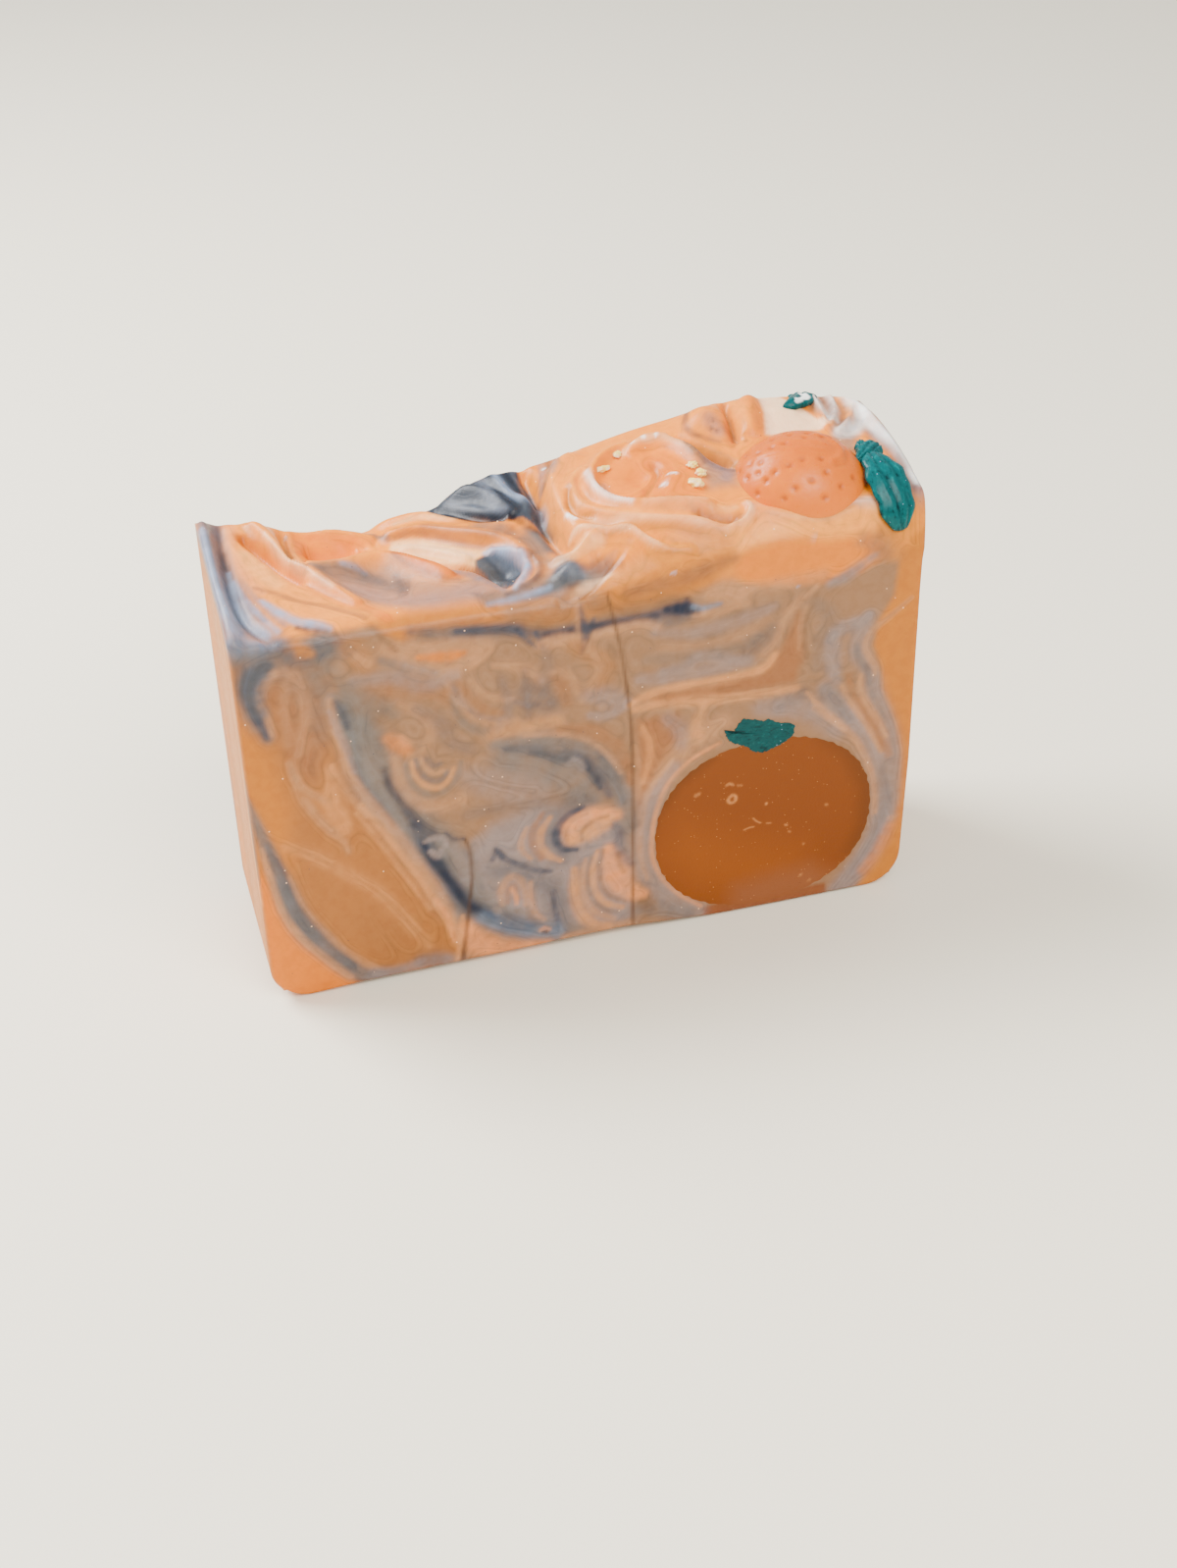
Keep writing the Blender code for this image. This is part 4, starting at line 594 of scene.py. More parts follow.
# Strokes: colour, strength, softness, points (x, y, half width)
TOP_STROKES = [
    # The rim over the left end, and the pale fan beside it
    ("top_grey", 0.8, 0.6, [(-42.6, 14, 0.9), (-43.4, 8, 0.9), (-43.6, 0, 1), (-42.8, -8, 1.2)]),
    ("top_blue", 0.8, 0.5, [(-43.6, 14, 0.3), (-43.8, 8, 0.5), (-43.8, 0, 1), (-43.6, -6.5, 1.2),
        (-43.4, -9.4, 1.2), (-42.8, -13.5, 1.6)]),
    ("top_blue", 0.85, 0.7, [(-41.9, 12, 0.5), (-42.3, 6, 0.6), (-42.4, 0, 0.7), (-42, -5, 0.9), (-40.8, -9, 1.2),
        (-39.2, -12.5, 1.3)]),
    ("top_slate", 0.6, 0.35, [(-41.7, 12.5, 0.15), (-42.1, 7.8, 0.15), (-42.4, 1.9, 0.2), (-42.5, -3.9, 0.25),
        (-42, -7.7, 0.3), (-40.6, -9.9, 0.4), (-39.1, -12, 0.3)]),
    ("top_slate", 0.6, 0.45, [(-41.7, 6.8, 0.1), (-41.7, 1.8, 0.2), (-41.4, -1.6, 0.4), (-40.4, -5.3, 0.3),
        (-39.4, -8.2, 0.1)]),
    ("top_ice", 0.7, 0.35, [(-41.9, 2.6, 0.1), (-42, -4.3, 0.2), (-41, -8.5, 0.25), (-39.5, -10.6, 0.2)]),
    ("top_ice", 0.6, 0.35, [(-41.7, 0.5, 0.1), (-41, -3.4, 0.2), (-39.7, -7.2, 0.25), (-38.2, -10.5, 0.2)]),
    # Painted light along the rim's outer edge
    ("top_ice", 0.75, 0.5, [(-44, 9, 0.2), (-44.1, 1, 0.5), (-43.7, -6, 0.6), (-43.2, -10.4, 0.5)]),
    ("top_lilac", 0.8, 0.35, [(-41.4, 8, 0.1), (-41.1, 3.4, 0.2), (-40.2, -1.7, 0.3), (-39, -5.3, 0.3),
        (-38, -7.9, 0.25), (-37.2, -9.7, 0.1)]),
    ("top_ice", 0.9, 0.4, [(-38.9, -4.2, 0.1), (-37.4, -6.9, 0.4), (-35.7, -9.2, 0.5), (-33.5, -10.4, 0.45),
        (-32.2, -11.2, 0.2)]),
    ("top_slate", 0.75, 0.4, [(-35.8, -10.4, 0.1), (-33.9, -11.2, 0.3), (-32.2, -12, 0.35), (-31.4, -12.7, 0.1)]),
    ("top_ice", 0.8, 0.8, [(-43.4, -12.4, 0.8), (-41, -12.8, 0.7)]),
    ("top_pink", 0.8, 0.5, [(-40.6, 13.3, 0.3), (-40.4, 10.7, 0.4), (-41, 7.6, 0.3), (-40.7, 4, 0.4),
        (-39.8, 0.4, 0.4), (-38.8, -2.4, 0.2)]),
    ("top_fan", 0.4, 0.9, [(-39.4, 5.6, 0.4), (-38.2, 2.2, 0.8), (-36.8, -0.6, 0.5)]),
    ("top_mauve", 0.6, 0.35, [(-39.4, -1.4, 0.1), (-37.2, -2.7, 0.2), (-34.6, -4.9, 0.2), (-31.1, -7.3, 0.2),
        (-27.7, -10.4, 0.1)]),
    ("top_amber", 1, 0.4, [(-39.4, 9.8, 0.4), (-38.3, 9, 0.7), (-37.1, 7, 0.6), (-36, 5, 0.4), (-34.9, 2.9, 0.3),
        (-33.4, 0.2, 0.15)]),
    ("top_vivid", 0.6, 0.5, [(-34.6, 2.2, 0.2), (-32.2, -2.2, 0.4), (-28.8, -6.4, 0.5), (-26.6, -8.8, 0.5),
        (-24.8, -11.4, 0.4)]),
    # Painted light along the crest of the left fold, with a thin painted highlight line on it
    ("top_orange", 0.8, 0.6, [(-37.7, 12.8, 0.3), (-36.6, 9.4, 0.5), (-35.2, 5.4, 0.6), (-33.4, 1.6, 0.5),
        (-30.8, -2.8, 0.4), (-28.4, -6.4, 0.2)]),
    ("top_cream", 0.4, 0.35, [(-36.4, 8.6, 0.1), (-35.1, 4.6, 0.12), (-32.9, 0.4, 0.12), (-30.2, -3.6, 0.1)]),
    # The pocket behind it
    # Painted shadow in the crease at the pocket's edge
    ("top_brown", 0.7, 0.35, [(-33.5, 11.4, 0.1), (-33.9, 7.6, 0.2), (-33.9, 4.5, 0.25), (-33.4, 3.1, 0.2),
        (-32.2, 1.8, 0.1)]),
    ("top_vivid", 0.8, 0.9, [(-32, 9.6, 0.5), (-31.2, 6.4, 0.8), (-28.6, 5.6, 0.9), (-25.6, 5.8, 0.6)]),
    ("top_orange", 0.8, 0.7, [(-34.2, 13.2, 0.5), (-30.6, 12.9, 0.6), (-26.4, 10.8, 0.7), (-22.6, 8.8, 0.4)]),
    ("top_mauve", 0.6, 0.35, [(-32.4, 3.9, 0.1), (-29.4, 3.6, 0.15), (-26, 4, 0.15), (-23.4, 5, 0.1)]),
    ("top_peach", 0.9, 0.35, [(-32.2, 3, 0.1), (-30.4, 2.8, 0.25), (-27.6, 3.1, 0.25), (-24.4, 3.8, 0.15)]),
    ("top_grey", 0.8, 0.35, [(-30.6, 13.2, 0.1), (-27.9, 11.9, 0.15), (-25.5, 11.1, 0.18), (-22.5, 9.4, 0.18),
        (-21.1, 7.8, 0.1)]),
    ("top_grey", 0.6, 0.7, [(-32.4, 1.2, 0.1), (-29.6, 2, 0.3), (-27.1, 2, 0.2)]),
    ("top_ice", 0.5, 0.35, [(-28, 2.3, 0.1), (-26.4, 1.9, 0.2), (-25.4, 1.1, 0.1)]),
    ("top_steel", 0.55, 0.6, [(-26.2, 1.4, 0.1), (-24.8, 0.3, 0.4), (-23.6, -0.8, 0.2)]),
    ("top_slate", 0.6, 0.6, [(-21.8, -0.5, 0.1), (-21.4, -3.1, 0.45), (-21.8, -5.3, 0.2)]),
    ("top_grey", 0.6, 1, [(-31, 0.8, 0.3), (-27.8, 1, 0.5), (-25.2, 0, 0.6), (-23.4, -1.4, 0.5),
        (-22, -3.4, 0.4)]),
    ("top_lilac", 0.6, 1.4, [(-30, -2, 0.6), (-26.4, -3.4, 1), (-22.4, -7.4, 0.8), (-18, -8.8, 0.8),
        (-13, -8.4, 0.5)]),
    # The tongue, the ribbon and the pool
    ("top_vivid", 0.95, 0.5, [(-21.2, 3.6, 0.3), (-19.4, 1.4, 0.8), (-17.8, -1, 1.1), (-16.2, -3.2, 1),
        (-15.2, -4.2, 0.5)]),
    ("top_mauve", 0.6, 0.35, [(-21.4, 2.6, 0.1), (-20.3, 0.4, 0.12), (-18.5, -2.4, 0.15), (-16.5, -4.8, 0.15),
        (-14.9, -5.5, 0.1)]),
    ("top_blue", 0.75, 0.6, [(-15, -3, 0.2), (-12.9, -4.8, 0.5), (-11.2, -7, 0.5), (-10.2, -9.2, 0.2)]),
    # A painted highlight on the ribbon
    ("top_cream", 0.64, 0.5, [(-20.4, 5.9, 0.2), (-17.6, 4.6, 0.5), (-14.8, 2, 0.5), (-12.2, -0.6, 0.3)]),
    # Painted shadow under the ribbon's lower edge
    ("top_slate", 0.8, 0.2, [(-19.4, 2.7, 0.05), (-17.2, 0, 0.1), (-15.4, -1.4, 0.12), (-13.5, -2.3, 0.14),
        (-12, -3.7, 0.16), (-10.6, -5.7, 0.18), (-9.7, -8.6, 0.1)]),
    # Painted shade along the ribbon's upper edge
    ("top_mauve", 0.6, 0.35, [(-20.6, 7.6, 0.1), (-17.5, 6.9, 0.15), (-14.8, 4.6, 0.2), (-12.3, 1.9, 0.2),
        (-9.6, -0.3, 0.1)]),
    ("top_mauve", 0.5, 0.6, [(-16.4, 7.4, 0.1), (-13.6, 5, 0.3), (-11, 2.4, 0.3), (-8.6, 0.4, 0.1)]),
    ("top_grey", 0.7, 0.9, [(-10, 4, 0.3), (-7.6, 1.6, 0.7), (-5.8, -0.6, 0.6), (-5, -2.6, 0.3)]),
    ("top_fan", 0.72, 0.35, [(-19.6, 10.6, 0.1), (-17.1, 10.3, 0.2), (-15.5, 9.7, 0.25), (-13.8, 8.5, 0.2),
        (-12.3, 7.6, 0.1)]),
    ("top_ink", 0.3, 0.5, [(-11.2, -2.2, 0.2), (-9.6, -3.4, 0.5), (-8.4, -5.4, 0.5), (-8.6, -7.6, 0.3)]),
    ("top_grey", 0.8, 0.5, [(-11.4, -2.4, 0.4), (-10.2, -4.2, 0.5), (-9.8, -6.8, 0.3)]),
    ("top_blue", 0.6, 0.4, [(-9.8, -1.9, 0.1), (-8.4, -3.4, 0.25), (-7.7, -5.4, 0.2)]),
    ("top_ice", 1, 0.35, [(-10.4, -0.7, 0.15), (-9, -1.3, 0.25), (-7.3, -3, 0.3), (-6.4, -5, 0.35),
        (-6.5, -6.6, 0.35), (-7.6, -8.4, 0.3), (-8.7, -9.7, 0.2)]),
    ("top_grey_tan", 0.9, 0.7, [(-4.9, -1.1, 0.5), (-4.3, -4.7, 0.6), (-4.2, -6.8, 0.6), (-5.5, -9, 0.5),
        (-7.7, -10.3, 0.4), (-10.1, -10.8, 0.4), (-12.4, -10.5, 0.4)]),
    ("top_steel", 0.6, 0.35, [(-6.6, -3.2, 0.1), (-5.3, -4.8, 0.15), (-5, -6.6, 0.2), (-5.8, -8.5, 0.2),
        (-8, -9.9, 0.15), (-10, -10.3, 0.1)]),
    ("top_ice", 0.6, 0.35, [(-12.6, -11.4, 0.1), (-10.4, -11.3, 0.2), (-7.6, -10.9, 0.2), (-4.7, -10.5, 0.1)]),
    ("top_blue", 0.6, 0.35, [(-11.2, -11.9, 0.1), (-8.3, -11.6, 0.2), (-5.1, -11.3, 0.2), (-2, -11.9, 0.1)]),
    # The grey mass
    ("top_ink", 0.9, 0.45, [(-14.2, 10.4, 0.1), (-12.9, 9.3, 0.35), (-11.6, 7.9, 0.45), (-10.3, 6.5, 0.45),
        (-9, 5.3, 0.4), (-7.5, 4.4, 0.35), (-5.6, 3.7, 0.25)]),
    ("top_blue", 0.75, 0.35, [(-12.6, 11.4, 0.1), (-11.2, 9.2, 0.15), (-9.8, 7.5, 0.15), (-8, 5.9, 0.15),
        (-6.2, 4.9, 0.1)]),
    ("top_blue", 0.85, 0.6, [(-7.8, 13, 0.2), (-7.3, 10.4, 0.5), (-7.5, 7.6, 0.4), (-7.2, 6, 0.1)]),
    ("top_ink", 0.6, 0.4, [(-6.5, 12.4, 0.2), (-6.2, 9.4, 0.3), (-5.9, 6.8, 0.3), (-5.2, 5, 0.1)]),
    ("top_ice", 0.7, 0.35, [(-5.8, 12.4, 0.2), (-5.1, 8.8, 0.3), (-4.4, 6.7, 0.25), (-3, 5.7, 0.25),
        (-1.9, 4.1, 0.2), (-1.8, 1.7, 0.1)]),
    ("top_ink", 0.7, 0.35, [(-6.2, 4.2, 0.1), (-4.9, 2.6, 0.3), (-3.7, 0.6, 0.3), (-2.3, -1, 0.2)]),
    ("top_ink", 0.7, 0.35, [(-4.6, 13.2, 0.2), (-3.9, 10, 0.3), (-3.3, 8, 0.3), (-2.3, 6.2, 0.2), (-2, 3, 0.15)]),
    ("top_blue", 0.6, 0.35, [(-3.4, 12.4, 0.1), (-3, 9.6, 0.15), (-2.2, 7.4, 0.1)]),
    ("top_lilac", 0.8, 0.35, [(0.5, 13.4, 0.25), (0.2, 10.4, 0.3), (-0.6, 7.8, 0.2), (-1.1, 6.2, 0.1)]),
    ("top_slate", 0.7, 0.35, [(1.5, 13.2, 0.2), (0.9, 9.2, 0.25), (0.1, 7.4, 0.2), (-0.7, 6.2, 0.1)]),
    ("top_blue", 0.7, 0.35, [(2.4, 12, 0.3), (1.6, 9, 0.25), (0.6, 6.8, 0.1)]),
    # A painted glint
    ("top_white", 0.9, 0.15, [(0.4, 10.6, 0.15)]),
    # The mound
    ("top_fan", 0.15, 0.9, [(3.6, 9.2, 0.4), (0.2, 5.6, 0.6), (-0.9, 2.6, 0.7), (-0.9, -0.6, 0.6),
        (-0.4, -4, 0.5), (0.8, -6.4, 0.3)]),
    ("top_fan", 0.15, 0.7, [(3.8, 5.4, 0.3), (2.2, 2, 0.5), (2.4, -1.6, 0.5), (4.2, -4, 0.4), (8.2, -6.4, 0.35),
        (13.4, -8.4, 0.35)]),
    ("top_ochre", 0.9, 0.35, [(1.5, 2.6, 0.1), (1, 0.9, 0.15), (0.7, -0.8, 0.18), (1.1, -2.4, 0.15),
        (3, -4, 0.1)]),
    ("top_ochre", 0.6, 0.35, [(2.4, -4.6, 0.1), (6.4, -7.2, 0.2), (10.8, -9.4, 0.2), (15.4, -10.9, 0.1)]),
    ("top_cream", 0.35, 0.35, [(1.4, -3.4, 0.08), (3.8, -5.2, 0.12), (6.6, -6.6, 0.15), (11, -8.6, 0.14),
        (15.5, -10.2, 0.14), (18.6, -11, 0.12)]),
    # Painted glare along the mound's left ridge: the white, the faint cream and the lilac strokes
    ("top_white", 0.55, 0.35, [(4.3, 4.3, 0.05), (4.2, 2, 0.2), (4.7, -0.7, 0.25), (5.8, -3, 0.15),
        (7.6, -4.7, 0.08)]),
    ("top_cream", 0.25, 0.35, [(9, -5.6, 0.05), (14, -6.8, 0.1), (16.4, -7.2, 0.06)]),
    ("top_lilac", 0.6, 0.5, [(5.6, 1.4, 0.2), (5.5, -0.7, 0.3), (6.4, -2.6, 0.2)]),
    ("top_ochre", 0.8, 0.35, [(12.4, 2.8, 0.1), (12.8, 1.1, 0.18), (11.3, -0.9, 0.18), (9.6, -3.4, 0.12)]),
    ("top_ochre", 0.75, 0.5, [(9.4, -4, 0.15), (12, -4.8, 0.3), (14.4, -5.5, 0.35), (15.8, -6, 0.2)]),
    ("top_vivid", 0.5, 0.9, [(12.4, 3.4, 0.4), (13.6, 1.2, 0.6), (12.6, -1.6, 0.5)]),
    ("top_cream", 0.4, 0.35, [(9.4, 6.2, 0.2), (11.9, 6.9, 0.25), (14.7, 6.5, 0.22), (16.5, 4.6, 0.18),
        (17.8, 1.8, 0.1)]),
    # Painted glints on the dome
    ("top_white", 0.9, 0.15, [(11.2, 6.9, 0.18)]),
    ("top_white", 0.9, 0.15, [(12.8, 7.1, 0.18)]),
    ("top_white", 0.9, 0.15, [(14.4, 6.8, 0.12)]),
    ("top_white", 0.9, 0.15, [(13.4, -1.2, 0.06), (14.4, -1.6, 0.1)]),
    ("top_white", 0.8, 0.15, [(12.2, -2.4, 0.08), (12.8, -2.6, 0.06)]),
    ("top_white", 0.9, 0.15, [(9, -4.3, 0.12), (9.8, -4.6, 0.14)]),
    # Painted shade in the furrow right of the dome
    ("top_brown", 0.8, 0.45, [(17.5, 3.8, 0.1), (17.8, 2.2, 0.3), (18.8, 0.6, 0.2)]),
    ("top_ochre", 0.95, 0.5, [(17.4, 5.8, 0.2), (18.8, 4.4, 0.45), (20.2, 3, 0.45), (21.8, 1.2, 0.4),
        (22.9, -0.4, 0.2)]),
    ("top_mauve", 0.7, 0.4, [(18.6, 3.9, 0.1), (20.2, 2.4, 0.2), (21.6, 0.8, 0.1)]),
    ("top_lilac", 0.9, 0.6, [(19.2, 0.6, 0.2), (20.2, -0.7, 0.5), (21.4, -1.6, 0.5), (20.6, -2.8, 0.4)]),
    ("top_steel", 0.55, 0.35, [(19.6, 0, 0.1), (20.8, -1.2, 0.2), (22.4, -1.8, 0.1)]),
    ("top_mauve", 0.8, 0.35, [(20.2, 11.6, 0.1), (19.3, 9.8, 0.2), (18.8, 8.3, 0.2), (19.2, 6.6, 0.2),
        (20.6, 5.2, 0.15), (22, 4.2, 0.1)]),
    ("top_lilac", 0.7, 0.9, [(21.9, 7.6, 0.5), (22.6, 6.2, 0.6)]),
    ("top_slate", 0.7, 0.2, [(21.7, 6.4, 0.12)]),
    ("top_slate", 0.6, 0.2, [(22.3, 6, 0.1)]),
    ("top_slate", 0.6, 0.2, [(22.2, 7.3, 0.08)]),
    ("top_slate", 0.6, 0.2, [(25.3, 3.4, 0.15)]),
    ("top_amber", 0.8, 0.5, [(23.7, 7, 0.1), (24, 5.7, 0.45), (23.5, 4.3, 0.45), (23.3, 3, 0.15)]),
    ("top_mauve", 0.7, 0.35, [(25.4, 12.8, 0.1), (24.8, 8.4, 0.2), (24.2, 4.4, 0.2)]),
    ("top_peach", 0.6, 0.9, [(26.2, 12.8, 0.4), (26.4, 8.4, 0.6), (25.6, 5, 0.3)]),
    ("top_vivid", 0.4, 0.9, [(28.6, 12.8, 0.3), (28.4, 8.4, 0.6), (27.8, 5.2, 0.3)]),
    # Beside the back leaf and down the right rim; the white strokes are painted highlights on the glossy skin over
    # pale soap
    ("top_white", 0.64, 0.35, [(38, 13.6, 0.2), (37.6, 9, 0.3), (37.6, 5.2, 0.2)]),
    ("top_white", 0.64, 0.35, [(40.2, 13.4, 0.2), (39.4, 9, 0.35), (38.2, 5.2, 0.2)]),
    ("top_mauve", 0.7, 0.35, [(38.8, 13, 0.1), (38.8, 8.4, 0.2), (38, 5.2, 0.15)]),
    ("top_mauve", 0.7, 0.35, [(41.4, 11, 0.1), (40.4, 7.4, 0.2), (39, 4.6, 0.15)]),
    ("top_peach", 0.8, 0.8, [(40.6, 12.8, 0.3), (41.6, 9.4, 0.7), (40.6, 6.4, 0.4)]),
    ("top_white", 0.72, 0.6, [(42.4, 13.4, 0.5), (42.6, 8.6, 0.6), (41.8, 5.4, 0.4), (40, 3.8, 0.4),
        (37.8, 2.8, 0.2)]),
    ("top_white", 0.72, 0.5, [(43.6, 11, 0.3), (43, 5.4, 0.4), (43.6, 1.4, 0.4), (44.2, -3.4, 0.3),
        (44.2, -8, 0.2)]),
    ("top_brown", 0.35, 0.6, [(42.2, 3, 0.2), (42.8, -2.4, 0.4), (43, -8.4, 0.4), (42.4, -12.6, 0.3)]),
    ("top_white", 0.64, 0.35, [(32.7, -10.9, 0.1), (34.2, -10.9, 0.25), (36.1, -10.6, 0.45), (38, -10.9, 0.5),
        (39.6, -11.8, 0.2)]),
    ("top_lilac", 0.6, 0.5, [(38.6, -11.8, 0.3), (40.2, -12.4, 0.4)]),
    # In front of the orange and down to the front edge
    ("top_pink", 0.8, 0.6, [(22.6, -8.4, 0.3), (24.6, -9.8, 0.5), (28, -11.2, 0.5), (31.1, -11.8, 0.4),
        (35, -11.4, 0.4)]),
    ("top_peach", 0.9, 0.35, [(24.8, -9.4, 0.1), (27.9, -10.6, 0.2), (31, -11.4, 0.2), (34.6, -11.1, 0.2)]),
    ("top_mauve", 0.7, 0.45, [(14.6, -8.2, 0.1), (16.6, -9.2, 0.3), (18.6, -10, 0.45), (20.2, -9.6, 0.2)]),
    ("top_fan", 0.48, 0.35, [(17, -8, 0.1), (18.8, -8.4, 0.25), (20, -8.2, 0.1)]),
    ("top_cream", 0.55, 0.35, [(17.8, -11.3, 0.12), (19.4, -11, 0.22), (20.9, -10.3, 0.25), (21.8, -9.2, 0.22),
        (21.8, -8, 0.15)]),
    ("top_cream", 0.6, 0.2, [(-0.4, -4.9, 0.08), (0.8, -5.6, 0.12), (3.1, -6.5, 0.12), (6.3, -7.9, 0.12),
        (7.6, -9.8, 0.15), (9, -11, 0.15), (10.5, -11.7, 0.14), (13.6, -12, 0.08)]),
    ("top_tan", 0.7, 0.9, [(3.9, -7.8, 0.4), (6, -9.6, 0.6), (6.6, -11.4, 0.4)]),
    ("top_fan", 0.64, 0.5, [(-2.8, -7.6, 0.3), (-1, -7.2, 0.5), (1.2, -7.5, 0.5), (2.6, -7.7, 0.3)]),
    ("top_amber", 0.5, 0.4, [(0.3, -8.7, 0.2), (1.6, -8.7, 0.2)]),
    ("top_mauve", 0.75, 0.6, [(0, -9.8, 0.3), (2.2, -10.2, 0.5), (4.2, -10.8, 0.2)]),
    ("top_blue", 0.8, 0.6, [(-2.8, -8.6, 0.4), (-1.8, -9.8, 0.6), (-0.8, -10.4, 0.3)]),
    ("top_slate", 0.5, 0.4, [(-3.4, -9, 0.2), (-2.6, -10.6, 0.3), (-0.8, -11, 0.2)]),
    ("top_cream", 0.8, 0.2, [(-2.2, -11.8, 0.1), (0.1, -11.3, 0.15), (2.1, -11.3, 0.15), (4.4, -12, 0.1)]),
    # A painted glint on the mound's left ridge
    ("top_white", 0.95, 0.2, [(0, -2.1, 0.12), (0.7, -3.2, 0.22)]),
]

# The marbling of the moulded ends: strokes with points (y, z, half width)
LEFT_STROKES = [
    ("peach", 0.5, 1.6, [(0, 56, 2), (-2, 40, 2.5), (-4, 20, 2.5), (-5, 4, 2)]),
    ("pale_peach", 0.6, 0.5, [(-5, 54, 0.2), (-8.4, 46, 0.5), (-10, 36, 0.6), (-10.8, 24, 0.4), (-11.6, 16, 0.2)]),
    ("brown", 0.5, 0.4, [(-7, 52, 0.1), (-9.6, 42, 0.3), (-11, 30, 0.3), (-11.8, 20, 0.1)]),
    ("blue_grey", 0.8, 1, [(-12.7, 54, 1.2), (-8, 55.6, 0.8), (0, 56.8, 0.8), (12.7, 58.2, 0.8)]),
    ("grey", 0.5, 1, [(-12.7, 34, 0.3), (-12, 28, 0.6), (-12.7, 20, 0.3)]),
    ("vivid", 0.5, 2, [(6, 50, 1.5), (9, 30, 2.5), (6, 8, 2)]),
    ("grey", 0.5, 0.8, [(12.7, 40, 0.6), (9, 30, 0.5), (10, 18, 0.4), (12.7, 10, 0.3)]),
]
RIGHT_STROKES = [
    ("lilac", 0.7, 1.2, [(-10, 52, 0.8), (-4, 57, 1), (4, 59, 1), (12.7, 60, 1.2)]),
    ("pale_peach", 0.5, 1.6, [(2, 54, 1.6), (0, 40, 2.2), (3, 22, 2.4), (0, 6, 1.6)]),
    ("bright", 0.5, 2, [(-8, 44, 1.6), (-7, 26, 2.2), (-8, 8, 1.6)]),
    ("grey", 0.55, 0.8, [(12.7, 46, 0.4), (8, 40, 0.8), (7, 30, 0.6), (10, 18, 0.8), (12.7, 8, 0.4)]),
    ("pale_peach", 0.5, 0.5, [(-2, 56, 0.2), (-4, 44, 0.4), (-3, 30, 0.3)]),
]

# The embedded round and its leaf, in (x, z)
ROUND_CENTRE = (23.0, 14.2)
ROUND_HALF_SIZES = (15.2, 13.2)
ROUND_SQUARENESS = 2.2
ROUND_SIDES = 240
ROUND_RINGS = 60
PROUD = 0.03
ROUND_AREAS = [
    ("round_light", 5, [(9, 12), (12, 16), (20, 12), (28, 9), (30, 3), (20, 2), (12, 5)]),
    ("round_dark", 1.8, [(30.5, 26), (34, 22.5), (36.5, 17), (36.5, 11), (35, 6.5), (40, 6), (41, 16), (36, 27)]),
    ("round_dark", 1.2, [(7, 13), (8.3, 18), (11.5, 22.5), (16, 25.8), (13, 27.5), (6, 22), (5, 12)]),
    ("round_bloom", 2.5, [(19, 4.5), (25, 5.5), (30, 5.5), (33, 3.5), (30, 0), (18, 0)]),
]
ROUND_STROKES = [
    ("pale_peach", 0.4, 0.12, [(18.1, 19.3, 0.12), (18.6, 19.6, 0.12), (19, 19.2, 0.12), (18.9, 18.6, 0.1),
        (18.3, 18.4, 0.12), (17.9, 18.8, 0.12), (18.1, 19.3, 0.12)]),
    ("pale_peach", 0.35, 0.12, [(17.6, 21.3, 0.04), (18.1, 21.5, 0.1), (18.6, 21.2, 0.06)]),
    ("pale_peach", 0.25, 0.1, [(19.2, 21, 0.04), (19.8, 20.9, 0.06)]),
    ("pale_peach", 0.3, 0.14, [(13.4, 20.6, 0.12), (13.9, 20.8, 0.1)]),
    ("pale_peach", 0.4, 0.1, [(23.3, 17.2, 0.12)]),
    ("pale_peach", 0.3, 0.1, [(20.3, 13.6, 0.04), (21, 13.8, 0.06), (21.6, 13.8, 0.04)]),
    ("pale_peach", 0.3, 0.1, [(21.5, 15.2, 0.06), (22, 14.6, 0.05), (22.6, 14.2, 0.04)]),
    ("pale_peach", 0.25, 0.1, [(23.4, 14, 0.05), (24, 13.9, 0.05)]),
    ("pale_peach", 0.3, 0.1, [(26.7, 11.9, 0.1)]),
    ("pale_peach", 0.3, 0.12, [(28.8, 9.4, 0.08)]),
    ("pale_peach", 0.35, 0.12, [(26.2, 13.1, 0.1)]),
    ("pale_peach", 0.3, 0.12, [(31.9, 15.2, 0.12)]),
    ("pale_peach", 0.35, 0.14, [(28.6, 4.2, 0.1)]),
    ("pale_peach", 0.3, 0.12, [(29.8, 3, 0.1)]),
]
ROUND_LEAF = [
    (17.3, 30.1), (17.7, 28.6), (18.7, 27.7), (20.3, 27), (21.1, 26.1), (22.5, 25.5), (24.3, 26), (25.9, 26.7),
    (26.9, 27.6), (27, 28.9), (26.1, 29.5), (25, 29.6), (23.3, 30.6), (22.7, 30.4), (21.6, 30.8), (19.9, 31.3),
    (19.1, 30.6), (18.7, 29.6), (18, 29.4),
]
LEAF_RINGS = 12
RAGGED_STEP = 0.25

# The small moulded orange: pits and creases in its peel as (azimuth, elevation) from its centre
ORANGE_CENTRE = Vector((30.3, -3.2, 57.1))
ORANGE_HALF_SIZES = Vector((9.4, 8.3, 8.2))
ORANGE_TILT = math.radians(6.0)
ORANGE_SUBDIVISIONS = 6
STEM = (19, 32)
STEM_DEPTH, STEM_WIDTH = 1.0, 0.30
PITS = [
    (-113, 58), (-128, 50), (-141, 41), (-148, 19), (-101, 39), (-84, 46), (-116, 31), (-123, 21), (-89, 24),
    (-85, 59), (-158, 35), (-53, 36), (-72, 32), (-167, 27), (-145, 32),
]
